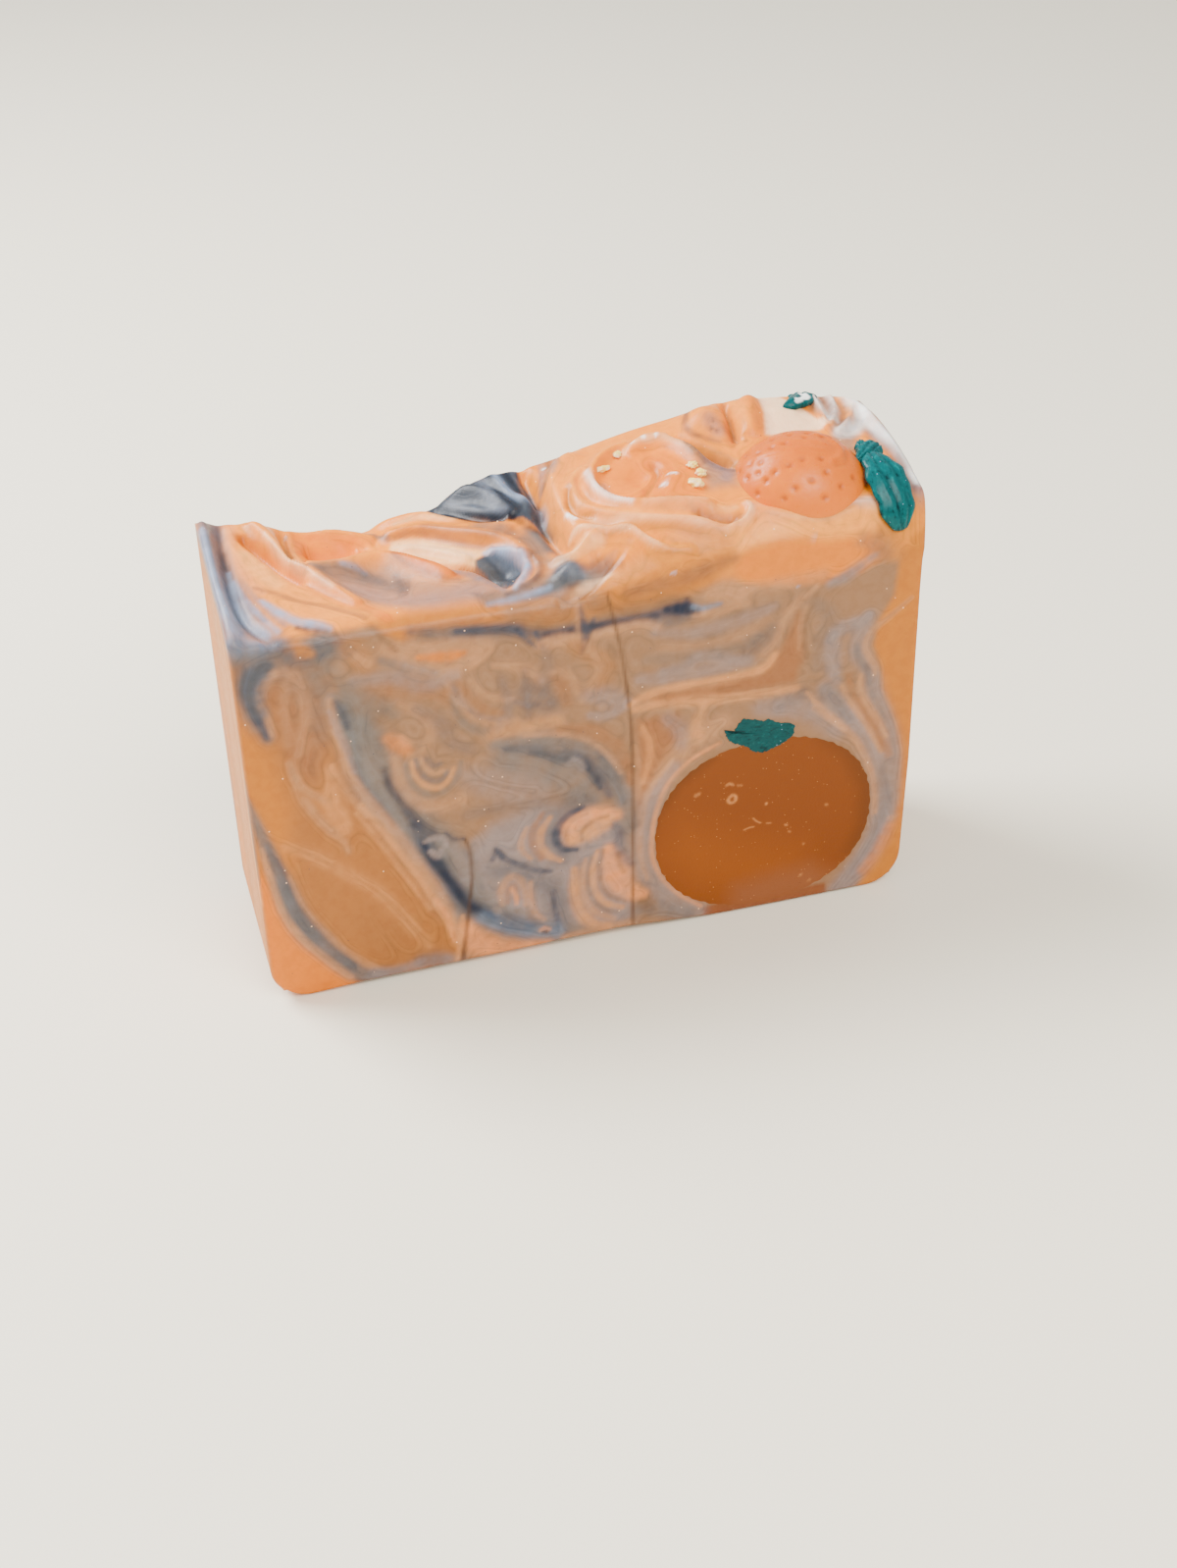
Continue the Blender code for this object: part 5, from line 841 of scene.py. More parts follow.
# Pits: depth, width, and how much painted shade darkens them
PIT_DEPTH, PIT_WIDTH, PIT_SHADE = 0.26, 0.042, 0.85
PINKNESS = 0.5
OTHER_PITS, PIT_SPACING, FRONT_PIT_SPACING, PIT_SEED = 90, 0.17, 2.2 * 0.17, 7
PEEL_CREASES = [
    (0.22, 0.045, [(24, 81), (-6, 73), (-25, 65), (-37, 60), (-55, 57), (-70, 56)]),
    (-0.2, 0.04, [(-30, 55), (-50, 50), (-66, 51)]),
    (0.1, 0.025, [(-179, 44), (-168, 56), (-143, 67), (-106, 72), (-70, 69)]),
    (0.1, 0.025, [(-176, 39), (-164, 49), (-148, 57), (-128, 61)]),
    (0.08, 0.025, [(172, 56), (179, 68), (-155, 80), (-62, 81), (-45, 72)]),
    (0.08, 0.02, [(-172, 50), (-150, 62), (-115, 67), (-88, 65)]),
]

# Leaves: midrib points (x, y, z), half widths on its left and right, and where the face looks
LARGE_LEAF = (
    [(39.2, -4, 61.8), (39.3, -6.2, 61.8), (39.8, -8.8, 60.7), (40.3, -11, 58.3), (40.6, -12.2, 54.9)],
    [0.7, 2.1, 2.6, 2.5, 1.5], [0.8, 2, 2.7, 2.6, 1.6], Vector((0.10, -0.62, 0.78)),
)
SMALL_LEAF = (
    [(37, -5.2, 61.7), (38.5, -4.4, 61.9), (40, -3.2, 61.9), (41.2, -2.2, 61.7)],
    [0.4, 1.3, 1.7, 1], [0.4, 1.2, 1.2, 1], Vector((0.05, -0.45, 0.89)),
)
SMALL_LEAF_TIP = (
    [(38.2, -3.6, 61.8), (38.7, -2.5, 62.2), (38.9, -1.5, 62.1)],
    [0.4, 0.8, 0.4], [0.4, 0.8, 0.4], Vector((0, -0.6, 0.8)),
)
BACK_LEAF = (
    [(32.4, 8.8, 63.3), (34, 9.6, 63.6), (35.5, 11.1, 63.3), (36.2, 13, 62.9)],
    [0.3, 1, 1.6, 1.7], [0.4, 1.3, 2, 2.1], Vector((0, 0.15, 0.99)),
)
LEAF_HALF_THICKNESS = 0.75
LEAF_STATIONS, LEAF_SIDES = 60, 48
# A leaf's least half width, how thick its ends are, and how far its folds drift across it
LEAST_WIDTH, LEAF_END, FOLD_BEND = 0.2, 0.25, 0.25
# Folds down a leaf's face: height, width, place across it
LEAF_FOLDS = [(0.12, 0.14, -0.6), (-0.14, 0.1, -0.34), (0.12, 0.16, 0), (-0.1, 0.08, 0.28), (0.08, 0.12, 0.55)]
# A smear of pale soap on the back leaf: strength, softness, points (x, y, half width)
SMEAR = [
    (0.95, 0.25, [(34.6, 9.6, 0.2), (35.5, 9.7, 0.35), (36.2, 10.4, 0.3), (35.9, 11.5, 0.35)]),
    (0.7, 0.25, [(34.2, 8.9, 0.1), (34.9, 9.2, 0.2)]),
]

# Crumbs lying on the mound: (x, y), half sizes
CRUMBS = [
    ((17, -0.1), (0.75, 0.6, 0.45)),
    ((17.6, -1.7), (0.6, 0.7, 0.5)),
    ((16.4, -3.4), (1.05, 0.75, 0.5)),
    ((6.2, 4.3), (1.4, 0.5, 0.35)),
    ((9.1, 6.6), (1, 0.5, 0.3)),
]
CRUMB_SUBDIVISIONS, CRUMB_TURN, CRUMB_LIFT = 4, 1.1, 0.4


def opaque(name):
    """A paint as a node's colour."""
    return (*PAINTS[name], 1.0)


def smooth_line(points, samples):
    """A Catmull-Rom curve through the points, as an array of its samples."""
    p = np.array(points, float)
    if len(p) == 1:
        return np.vstack([p, p + [[0.01, 0] + [0] * (p.shape[1] - 2)]])
    p = np.vstack([2 * p[0] - p[1], p, 2 * p[-1] - p[-2]])
    t = np.linspace(0, 1, samples, endpoint=False)[:, None]
    spans = []
    for a, b, c, d in zip(p, p[1:], p[2:], p[3:]):
        square, cube = 2 * a - 5 * b + 4 * c - d, 3 * b - a - 3 * c + d
        spans.append(0.5 * (2 * b + (c - a) * t + square * t**2 + cube * t**3))
    return np.vstack([*spans, p[-2]])


def smoothstep(low, high, value):
    """0 below low, 1 above high, and a smooth rise between them."""
    t = np.clip((value - low) / (high - low), 0, 1)
    return t * t * (3 - 2 * t)


def gaussian(distance, width):
    """A bell curve: 1 at no distance, 0.37 at the width."""
    return np.exp(-((distance / width) ** 2))


def profile(points, x):
    """The value at x on a smooth curve through (x, value) points."""
    line = smooth_line(points, PROFILE_SAMPLES)
    return np.interp(x, line[:, 0], line[:, 1])


def nearest_on_line(p, line):
    """For each point: distance to a sampled line, how far along it (0 to 1), and whether it's on the left."""
    best = np.full(len(p), np.inf)
    share = np.zeros(len(p))
    left = np.zeros(len(p), bool)
    count = len(line) - 1
    for i in range(count):
        a, d = line[i, :2], line[i + 1, :2] - line[i, :2]
        along = np.clip((p - a) @ d / max(d @ d, 1e-12), 0, 1)
        off = p - a - along[:, None] * d
        distance = np.hypot(off[:, 0], off[:, 1])
        closer = distance < best
        best = np.where(closer, distance, best)
        share = np.where(closer, (i + along) / count, share)
        left = np.where(closer, d[0] * off[:, 1] - d[1] * off[:, 0] > 0, left)
    return best, share, left


def along_stroke(p, line):
    """For each point: distance to a stroke's line, how far along it, and the stroke's half width there."""
    distance, share, _ = nearest_on_line(p, line)
    return distance, share, np.interp(share, np.linspace(0, 1, len(line)), line[:, 2])


def near(p, line, margin):
    """Which points lie in the line's box, grown by a margin."""
    low, high = line[:, :2].min(0) - margin, line[:, :2].max(0) + margin
    return np.flatnonzero(((p > low) & (p < high)).all(1))


def fold_height(p, height, left_width, right_width, points):
    """One fold or furrow: highest on its line, falling off to each side and towards its ends."""
    line = smooth_line(points, FOLD_SAMPLES)
    value = np.zeros(len(p))
    ids = near(p, line, FOLD_REACH * max(left_width, right_width))
    distance, share, left = nearest_on_line(p[ids], line)
    fade = np.sqrt(np.clip(1 - (2 * share - 1) ** 4, 0, 1)) * (1 - FOLD_END) + FOLD_END
    value[ids] = height * fade * gaussian(distance, np.where(left, left_width, right_width))
    return value


def top_height(x, y):
    """Height of the poured top over the base at points (x, y)."""
    share = np.clip(y / HALF_THICKNESS, -1, 1)
    front, middle, back = (profile(points, x) for points in (FRONT_TOP, MIDDLE_TOP, BACK_TOP))
    z = middle + (back - front) / 2 * share + ((back + front) / 2 - middle) * share**2
    over = np.clip((-HALF_THICKNESS - y + FRONT_ROLL_DEPTH) / FRONT_ROLL_DEPTH, 0, 1)
    z = z - np.interp(x, *np.array(FRONT_ROLL).T) * over**2
    p = np.stack([x, y], 1)
    relief = sum(fold_height(p, *fold) for fold in FOLDS)
    for height, radius, (cx, cy) in LUMPS:
        relief = relief + height * np.exp(-((x - cx) ** 2 + (y - cy) ** 2) / radius**2)
    return z + relief * (BACK_RELIEF + (1 - BACK_RELIEF) * smoothstep(0, BACK_FADE, HALF_THICKNESS - y))


def round_corner(a, b, radius):
    """Bends the square corner of (a, b), both measured in from it, into a round one."""
    da, db = (radius - a) / radius, (radius - b) / radius
    inside = (da > 0) & (db > 0)
    reach = np.maximum(da, db)
    ratio = np.minimum(da, db) / np.where(reach > 0, reach, 1)
    angle = ratio * math.pi / 4
    long, short = radius - radius * reach * np.cos(angle), radius - radius * reach * np.sin(angle)
    return (np.where(inside, np.where(da >= db, long, short), a),
            np.where(inside, np.where(da >= db, short, long), b))


def bar_points(i, j, k, tops):
    """Where the bar's grid points are: column i along X, slice j along Y, row k up Z."""
    inner = HALF_THICKNESS - EDGE_SOFTENING
    ys = np.concatenate([[-HALF_THICKNESS], np.linspace(-inner, inner, SLICES - 1), [HALF_THICKNESS]])
    x, y = (2 * i / COLUMNS - 1) * HALF_LENGTH, ys[j]
    z = tops[i, j] * k / ROWS
    a, z_left = round_corner(x + HALF_LENGTH, z, CORNER_RADIUS)
    b, z_right = round_corner(HALF_LENGTH - x, z, CORNER_RADIUS)
    x_new = np.where(x < 0, a - HALF_LENGTH, HALF_LENGTH - b)
    z = np.where(x < 0, z_left, z_right)
    end = np.interp(z, *np.array(RIGHT_END).T) / HALF_LENGTH
    x_new = np.where(x > 0, x_new * (1 + (end - 1) * smoothstep(0, 1, x / HALF_LENGTH)), x_new)
    edge = (j == 0) | (j == SLICES)
    x_new = np.where(edge, x_new * (1 - EDGE_SOFTENING / HALF_LENGTH), x_new)
    z = np.where(edge, EDGE_SOFTENING + z * (1 - 2 * EDGE_SOFTENING / tops[i, j]), z)
    arch = profile(BASE_ARCH, x_new) * smoothstep(0, ARCH_DEPTH, ARCH_DEPTH - HALF_THICKNESS - y)
    z = z + arch * np.clip(1 - z / ARCH_HEIGHT, 0, 1)
    return np.stack([x_new, y, z], 1)


def side_cells(width, height, across, up):
    """Polygons over a width by height grid, one per cell of the chosen cuts, with every edge point kept."""
    cells = []
    for a0, a1 in zip(across, across[1:]):
        for b0, b1 in zip(up, up[1:]):
            bottom = range(a0, a1) if b0 == 0 else (a0,)
            right = range(b0, b1) if a1 == width else (b0,)
            top = range(a1, a0, -1) if b1 == height else (a1,)
            left = range(b1, b0, -1) if a0 == 0 else (b1,)
            cells.append([(a, b0) for a in bottom] + [(a1, b) for b in right] + [(a, b1) for a in top]
                         + [(a0, b) for b in left])
    return cells


def bar_cells():
    """The bar's faces as lists of grid points (i, j, k), each facing out."""
    fine_i, fine_j, fine_k = (list(range(n + 1)) for n in (COLUMNS, SLICES, ROWS))
    i_cuts, j_cuts, k_cuts = (list(range(0, n + 1, COARSE_STEP)) for n in (COLUMNS, SLICES, ROWS))
    faces = [[(i, 0, k) for i, k in cell] for cell in side_cells(COLUMNS, ROWS, fine_i, fine_k)]
    faces += [[(i, SLICES, k) for i, k in cell[::-1]] for cell in side_cells(COLUMNS, ROWS, i_cuts, k_cuts)]
    faces += [[(i, j, ROWS) for i, j in cell] for cell in side_cells(COLUMNS, SLICES, fine_i, fine_j)]
    faces += [[(i, j, 0) for i, j in cell[::-1]]
              for cell in side_cells(COLUMNS, SLICES, i_cuts, list(BASE_SLICES))]
    faces += [[(0, j, k) for j, k in cell[::-1]] for cell in side_cells(SLICES, ROWS, j_cuts, k_cuts)]
    faces += [[(COLUMNS, j, k) for j, k in cell] for cell in side_cells(SLICES, ROWS, j_cuts, k_cuts)]
    return faces


def build_bar():
    """The bar's mesh data: points in millimetres, faces, and each point's grid place."""
    i, j = (grid.ravel() for grid in np.meshgrid(range(COLUMNS + 1), range(SLICES + 1), indexing="ij"))
    inner = HALF_THICKNESS - EDGE_SOFTENING
    y = np.clip((2 * (j - 1) / (SLICES - 2) - 1) * inner, -HALF_THICKNESS, HALF_THICKNESS)
    tops = top_height((2 * i / COLUMNS - 1) * HALF_LENGTH, y).reshape(COLUMNS + 1, SLICES + 1)
    cells = bar_cells()
    corners = np.array([corner for cell in cells for corner in cell])
    places, ids = np.unique(corners, axis=0, return_inverse=True)
    ids = ids.ravel()
    starts = np.cumsum([0] + [len(cell) for cell in cells])
    faces = [ids[a:b].tolist() for a, b in zip(starts, starts[1:])]
    return bar_points(*places.T, tops), faces, places


def area_mask(p, outline, softness):
    """1 inside the outline and 0 outside, with a soft edge."""
    inside = np.zeros(len(p), bool)
    closed = outline + outline[:1]
    for (ax, ay), (bx, by) in zip(closed, closed[1:]):
        crosses = (ay > p[:, 1]) != (by > p[:, 1])
        with np.errstate(divide="ignore", invalid="ignore"):
            cut = (bx - ax) * (p[:, 1] - ay) / (by - ay) + ax
        inside ^= crosses & (p[:, 0] < cut)
    distance = nearest_on_line(p, np.array(closed, float))[0]
    return smoothstep(-softness, softness, np.where(inside, distance, -distance))


def paint(p, base, areas, strokes):
    """Colours points from areas and strokes, and gives a flow value whose level lines follow the strokes."""
    colour = np.tile(PAINTS[base], (len(p), 1))
    closeness = np.zeros(len(p))
    for name, softness, outline in areas:
        ids = near(p, np.array(outline, float), softness)
        mask = area_mask(p[ids], outline, softness)[:, None]
        colour[ids] += (np.array(PAINTS[name]) - colour[ids]) * mask
    for name, strength, softness, points in strokes:
        line = smooth_line(points, STROKE_SAMPLES)
        ids = near(p, line, STROKE_MARGIN)
        distance, share, width = along_stroke(p[ids], line)
        waver = np.sin(share * 9 + points[0][0]) * np.sin(share * 23 + points[0][1])
        fade = FADE_BY_WIDTH * width + FADE_BY_SOFTNESS * softness
        mask = strength * (1 - STROKE_WAVER + STROKE_WAVER * waver)
        mask = mask * gaussian(np.maximum(distance - STROKE_CORE * width, 0), fade)
        colour[ids] += (np.array(PAINTS[name]) - colour[ids]) * mask[:, None]
        closeness[ids] += np.exp(-distance / FLOW_REACH)
    return colour, -FLOW_REACH * np.log(closeness + LEAST_CLOSENESS)


def bend_pattern(p):
    """Moves points so that the same strokes give the back cut a pattern of its own."""
    x, z = p[:, 0], p[:, 1]
    bent_x = x + 2.6 * np.sin(z / 9 + 1.0) + 1.4 * np.sin(x / 6 + z / 11)
    bent_z = z + 2.2 * np.sin(x / 8 + 0.6) + 1.2 * np.sin(x / 5 - z / 7)
    bent = smoothstep(0, BEND_FADE, BENT_BELOW - z)
    return np.stack([bent_x, z + (bent_z - z) * bent], 1)


def seen_on_front(points):
    """Where points near the front cut show on its plane, as (x, z), seen from the camera."""
    away = (CAMERA_PLACE[1] + HALF_THICKNESS) / (CAMERA_PLACE[1] - points[:, 1])
    return (CAMERA_PLACE + (points - CAMERA_PLACE) * away[:, None])[:, [0, 2]]


def paint_bar(points, places):
    """The bar's colour, flow and gloss for every point."""
    colour = np.zeros((len(points), 3))
    flow = np.zeros(len(points))
    i, j, k = places.T
    x, y, z = points.T
    front, back = j == 0, j == SLICES
    top = (k == ROWS) & ~front & ~back
    left = (i == 0) & ~front & ~back & ~top
    right = (i == COLUMNS) & ~front & ~back & ~top
    base = (k == 0) & ~front & ~back & ~left & ~right
    sets = [
        (front, np.stack([x, z], 1), "tan", FRONT_AREAS, FRONT_STROKES),
        (back, bend_pattern(np.stack([x, z], 1)), "tan", FRONT_AREAS, FRONT_STROKES),
        (base, np.stack([x, (y + HALF_THICKNESS) * BASE_SHARE], 1), "clean", FRONT_AREAS, FRONT_STROKES),
        (left, np.stack([y, z], 1), "end_peach", [], LEFT_STROKES),
        (right, np.stack([y, z], 1), "clean", [], RIGHT_STROKES),
        (top, np.stack([x, y], 1), "top_orange", TOP_AREAS, TOP_STROKES),
    ]
    for chosen, p, ground, areas, strokes in sets:
        colour[chosen], flow[chosen] = paint(p[chosen], ground, areas, strokes)
    inwards = (y + HALF_THICKNESS) / np.interp(x, *np.array(LIP_REACH).T)
    lip = top & (inwards < 1)
    over, _ = paint(seen_on_front(points[lip]), "tan", FRONT_AREAS, FRONT_STROKES)
    mix = smoothstep(LIP_START, 1, inwards[lip])[:, None]
    colour[lip] = over + (colour[lip] - over) * mix
    return colour, flow, np.where(top, 1.0, 0.0)


def add_attributes(mesh, colour=None, **values):
    """Stores each point's painted colour and other values, for the material to read."""
    if colour is not None:
        layer = mesh.attributes.new("tint", "FLOAT_COLOR", "POINT")
        rgba = np.column_stack([colour, np.ones(len(colour))])
        layer.data.foreach_set("color", rgba.astype(np.float32).ravel())
    for name, value in values.items():
        layer = mesh.attributes.new(name, "FLOAT", "POINT")
        layer.data.foreach_set("value", np.asarray(value, np.float32))


def add_piece(name, points, faces, material, replaced):
    """A smooth-shaded piece from points in millimetres, riding on the bar."""
    mesh = bpy.data.meshes.new(name)
    mesh.from_pydata((np.asarray(points) * MM).tolist(), [], faces)
    mesh.shade_smooth()
    mesh.materials.append(material)
    piece = bpy.data.objects.new(name, mesh)
    bpy.context.scene.collection.objects.link(piece)
    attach(piece, "root")
    if replaced:
        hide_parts(*replaced)
    return piece


class Shader:
    """A few shortcuts for building a node material."""

    def __init__(self, name):
        self.material = bpy.data.materials.new(name)
        self.material.use_nodes = True
        self.tree = self.material.node_tree
        self.bsdf = self.tree.nodes["Principled BSDF"]

    def put(self, socket, value):
        """Links a socket's value from another socket, or sets it."""
        if isinstance(value, bpy.types.NodeSocket):
            self.tree.links.new(value, socket)
        else:
            socket.default_value = value

    def node(self, kind, inputs, **settings):
        """A new node with its settings, and its inputs linked or set."""
        made = self.tree.nodes.new(kind)
        for name, value in settings.items():
            setattr(made, name, value)
        for key, value in inputs.items():
            self.put(made.inputs[key], value)
        return made

    def attribute(self, name, output):
        """A value stored on the mesh's points."""
        return self.node("ShaderNodeAttribute", {}, attribute_name=name).outputs[output]

    def math(self, operation, a, b=0.0, c=0.0):
        return self.node("ShaderNodeMath", {0: a, 1: b, 2: c}, operation=operation).outputs[0]

    def ramp(self, value, low, high, out_low=0.0, out_high=1.0):
        """A smooth step from out_low to out_high while the value goes from low to high."""
        inputs = {"Value": value, "From Min": low, "From Max": high, "To Min": out_low, "To Max": out_high}
        return self.node("ShaderNodeMapRange", inputs, interpolation_type="SMOOTHSTEP").outputs["Result"]

    def noise(self, scale, detail=2.0, vector=None, distortion=0.0):
        """Cloudy noise, with its scale per millimetre."""
        inputs = {"Scale": scale, "Detail": detail, "Distortion": distortion}
        inputs["Vector"] = vector if vector is not None else self.place()
        return self.node("ShaderNodeTexNoise", inputs).outputs["Fac"]

    def place(self, squeeze=None):
        """The point's own place on its piece, in millimetres, with each axis squeezed for streaks."""
        coordinate = self.node("ShaderNodeTexCoord", {}).outputs["Object"]
        scaled = self.node("ShaderNodeVectorMath", {0: coordinate, 3: 1 / MM}, operation="SCALE").outputs[0]
        if squeeze is None:
            return scaled
        return self.node("ShaderNodeVectorMath", {0: scaled, 1: squeeze}, operation="MULTIPLY").outputs[0]

    def dots(self, scale, size, share):
        """Small round specks on a share of a Voronoi pattern's cells, as a value from 0 to 1."""
        cells = self.node("ShaderNodeTexVoronoi", {"Vector": self.place(), "Scale": scale})
        chance = self.node("ShaderNodeSeparateColor", {0: cells.outputs["Color"]}).outputs[0]
        spot = self.ramp(cells.outputs["Distance"], size * 0.6, size, 1.0, 0.0)
        return self.math("MULTIPLY", spot, self.math("LESS_THAN", chance, share))

    def mix(self, factor, a, b, blend="MIX"):
        """Colour a with colour b over it, as far as the factor says."""
        made = self.node("ShaderNodeMix", {0: factor}, data_type="RGBA", blend_type=blend)
        self.put(made.inputs[6], a)
        self.put(made.inputs[7], b)
        return made.outputs[2]

    def bump(self, height, strength, distance, normal=None):
        """A normal bent by a height, on top of another normal if there is one."""
        inputs = {"Height": height, "Strength": strength, "Distance": distance}
        if normal is not None:
            inputs["Normal"] = normal
        return self.node("ShaderNodeBump", inputs).outputs[0]

    def finish(self, **inputs):
        """Links or sets inputs of the surface shader, and gives the material."""
        for name, value in inputs.items():
            self.put(self.bsdf.inputs[name.replace("_", " ")], value)
        return self.material


def glow(shader, weight, scale, shine):
    """The light that soap lets in and scatters, and the shine of its skin."""
    shader.finish(Subsurface_Weight=weight, Subsurface_Scale=scale * MM, IOR=SOAP_IOR)
    shader.finish(Subsurface_Radius=SCATTER, Specular_IOR_Level=shine)


def soap_material():
    """Marbled soap: painted colour, fine strands along the swirls, bubbles, specks and a waxy skin."""
    s = Shader("marbled_soap")
    tint, flow, gloss = s.attribute("tint", "Color"), s.attribute("flow", "Fac"), s.attribute("gloss", "Fac")
    wander = s.noise(0.18, 2.0)
    along = s.math("MULTIPLY", s.math("MULTIPLY_ADD", wander, STRAND_WANDER, flow), STRANDS_ALONG)
    across = s.math("MULTIPLY", wander, STRANDS_ACROSS)
    strands = s.noise(1.0, 3.0, s.node("ShaderNodeCombineXYZ", {0: along, 1: across}).outputs[0])
    reach = s.ramp(flow, 0.0, 1.3, 1.0, 0.0)
    light = s.mix(s.math("MULTIPLY", s.ramp(strands, 0.48, 0.74), reach), tint, LIGHT_STRAND, "MULTIPLY")
    dark = s.mix(s.math("MULTIPLY", s.ramp(strands, 0.50, 0.26), reach), light, DARK_STRAND, "MULTIPLY")
    mottle = s.mix(s.ramp(s.noise(0.9, 4.0), 0.35, 0.7), dark, MOTTLE, "MULTIPLY")
    pale = s.mix(s.math("MULTIPLY", s.dots(0.8, 0.10, 0.16), 0.8), mottle, opaque("top_cream"))
    specks = s.mix(s.math("MULTIPLY", s.dots(0.55, 0.055, 0.35), 0.75), pale, opaque("slate"))
    skin = s.bump(strands, 0.25, 0.10 * MM)
    skin = s.bump(s.noise(2.6, 4.0), 0.22, 0.10 * MM, skin)
    smoother = s.math("MULTIPLY_ADD", gloss, -0.16, 0.50)
    rough = s.math("ADD", smoother, s.ramp(s.noise(1.2, 3.0), 0.3, 0.7, -0.06, 0.06))
    glow(s, 0.25, 2.2, SOAP_SHINE)
    return s.finish(Base_Color=specks, Roughness=rough, Normal=skin)


def make_bar():
    """The poured bar, with its marbling painted on it."""
    points, faces, places = build_bar()
    bar = add_piece("swirled_bar", points, faces, soap_material(), ["soap_bar"])
    colour, flow, gloss = paint_bar(points, places)
    add_attributes(bar.data, colour, flow=flow, gloss=gloss)


def outward_faces(points, faces):
    """A closed mesh's faces, each turned to face out."""
    shape = bmesh.new()
    verts = [shape.verts.new(point) for point in points]
    for face in faces:
        shape.faces.new([verts[i] for i in face])
    bmesh.ops.recalc_face_normals(shape, faces=shape.faces)
    shape.verts.index_update()
    turned = [[vert.index for vert in face.verts] for face in shape.faces]
    shape.free()
    return turned


def column(outline, rings):
    """A column through the bar: the outline's faces in rings towards the middle, just proud of both cuts."""
    outline = np.array(outline)
    centre = outline.mean(0)
    shares = np.linspace(1, 0, rings, endpoint=False)
    flat = np.concatenate([centre + (outline - centre) * share for share in shares] + [centre[None]])
    reach, count, layer = HALF_THICKNESS + PROUD, len(outline), len(flat)
    points = np.concatenate([np.insert(flat, 1, y, axis=1) for y in (-reach, reach)])
    faces = []
    for start in (0, layer):
        for ring in range(rings - 1):
            faces += band(start + ring * count, start + (ring + 1) * count, count)
        last = start + (rings - 1) * count
        faces += [(last + i, last + (i + 1) % count, start + layer - 1) for i in range(count)]
    faces += band(0, layer, count)
    return points, outward_faces(points.tolist(), faces)


def band(first, second, count):
    """Faces between two closed rings of points."""
    return [(first + i, first + (i + 1) % count, second + (i + 1) % count, second + i) for i in range(count)]


def round_outline():
    """The round's outline, a little ragged as the cutter left it."""
    angles = np.linspace(0, 2 * math.pi, ROUND_SIDES, endpoint=False)
    ragged = 0.06 * np.sin(angles * 37 + 2 * np.sin(angles * 5)) + 0.05 * np.sin(angles * 61 + 1.3)
    ways = np.cos(angles), np.sin(angles)
    return np.stack([centre + (half + ragged) * np.sign(way) * np.abs(way) ** (2 / ROUND_SQUARENESS)
                     for centre, half, way in zip(ROUND_CENTRE, ROUND_HALF_SIZES, ways)], 1)


def ragged_outline(points, step, depth):
    """A closed outline with more points, nudged in and out as a knife tears soft soap."""
    corners = np.array(points + points[:1], float)
    lengths = np.concatenate([[0], np.cumsum(np.hypot(*np.diff(corners, axis=0).T))])
    at = np.arange(0, lengths[-1], step)
    x, z = np.interp(at, lengths, corners[:, 0]), np.interp(at, lengths, corners[:, 1])
    nudge = depth * (np.sin(at * 7.1) + np.sin(at * 12.7 + 1.0) + 0.7 * np.sin(at * 3.3))
    middle = corners[:-1].mean(0)
    away = np.stack([x, z], 1) - middle
    return middle + away * (1 + nudge / np.hypot(*away.T))[:, None]


def round_material():
    """The deep orange soap: painted shade, fine drag marks of the cutter and tiny specks."""
    s = Shader("deep_orange_soap")
    tint = s.attribute("tint", "Color")
    drag = s.noise(1.6, 4.0, s.place((0.8, 1.0, 5.0)))
    shade = s.mix(s.ramp(drag, 0.55, 0.8, 0.0, 0.35), tint, opaque("round_light"))
    shade = s.mix(s.ramp(drag, 0.45, 0.2, 0.0, 0.35), shade, opaque("round_dark"))
    shade = s.mix(s.math("MULTIPLY", s.dots(2.2, 0.16, 0.20), 0.45), shade, opaque("pale_peach"))
    skin = s.bump(s.noise(5.0, 3.0), 0.35, 0.06 * MM)
    glow(s, 0.15, 1.2, ROUND_SHINE)
    return s.finish(Base_Color=shade, Roughness=s.ramp(drag, 0.3, 0.7, 0.42, 0.56), Normal=skin)


def make_round():
    """The deep orange column, which shows as a round in both cut faces."""
    points, faces = column(round_outline(), ROUND_RINGS)
    piece = add_piece("orange_column", points, faces, round_material(), ["orange_round"])
    colour, _ = paint(points[:, [0, 2]], "round", ROUND_AREAS, ROUND_STROKES)
    add_attributes(piece.data, colour)
    sharpen_edges(piece)


def sharpen_edges(piece):
    """Keeps an edge sharp where its two faces turn too far to be one smooth surface."""
    piece.data.set_sharp_from_angle(angle=LARGEST_SMOOTH_TURN)


def leaf_material(name, squeeze, depth=0.0):
    """Green soap: painted shade in its folds and underneath, light streaks along them, fine pale specks of painted
    highlight and a wet gloss.
    """
    s = Shader(name)
    streaks = s.noise(1.3, 4.0, s.place(squeeze), 0.6)
    shade = s.mix(s.ramp(streaks, 0.25, 0.48), opaque("leaf_dark"), opaque("leaf_green"))
    shade = s.mix(s.ramp(streaks, 0.56, 0.74, 0.0, 0.8), shade, opaque("leaf_light"))
    # Painted shade: darker in the leaf's folds and on its underside
    shade = s.mix(s.attribute("crease", "Fac"), shade, opaque("leaf_dark"))
    shade = s.mix(depth, shade, opaque("leaf_dark"))
    # Painted highlights: fine pale specks standing in for the wet gloss's glints
    shade = s.mix(s.math("MULTIPLY", s.dots(1.6, 0.12, 0.35), 0.55), shade, opaque("ice"))
    shade = s.mix(s.attribute("smear", "Fac"), shade, opaque("top_white"))
    skin = s.bump(streaks, 0.25, 0.08 * MM)
    skin = s.bump(s.noise(3.2, 3.0), 0.2, 0.05 * MM, skin)
    glow(s, 0.08, 0.8, LEAF_SHINE)
    return s.finish(Base_Color=shade, Roughness=s.ramp(s.noise(1.1, 3.0), 0.3, 0.7, 0.12, 0.30), Normal=skin)


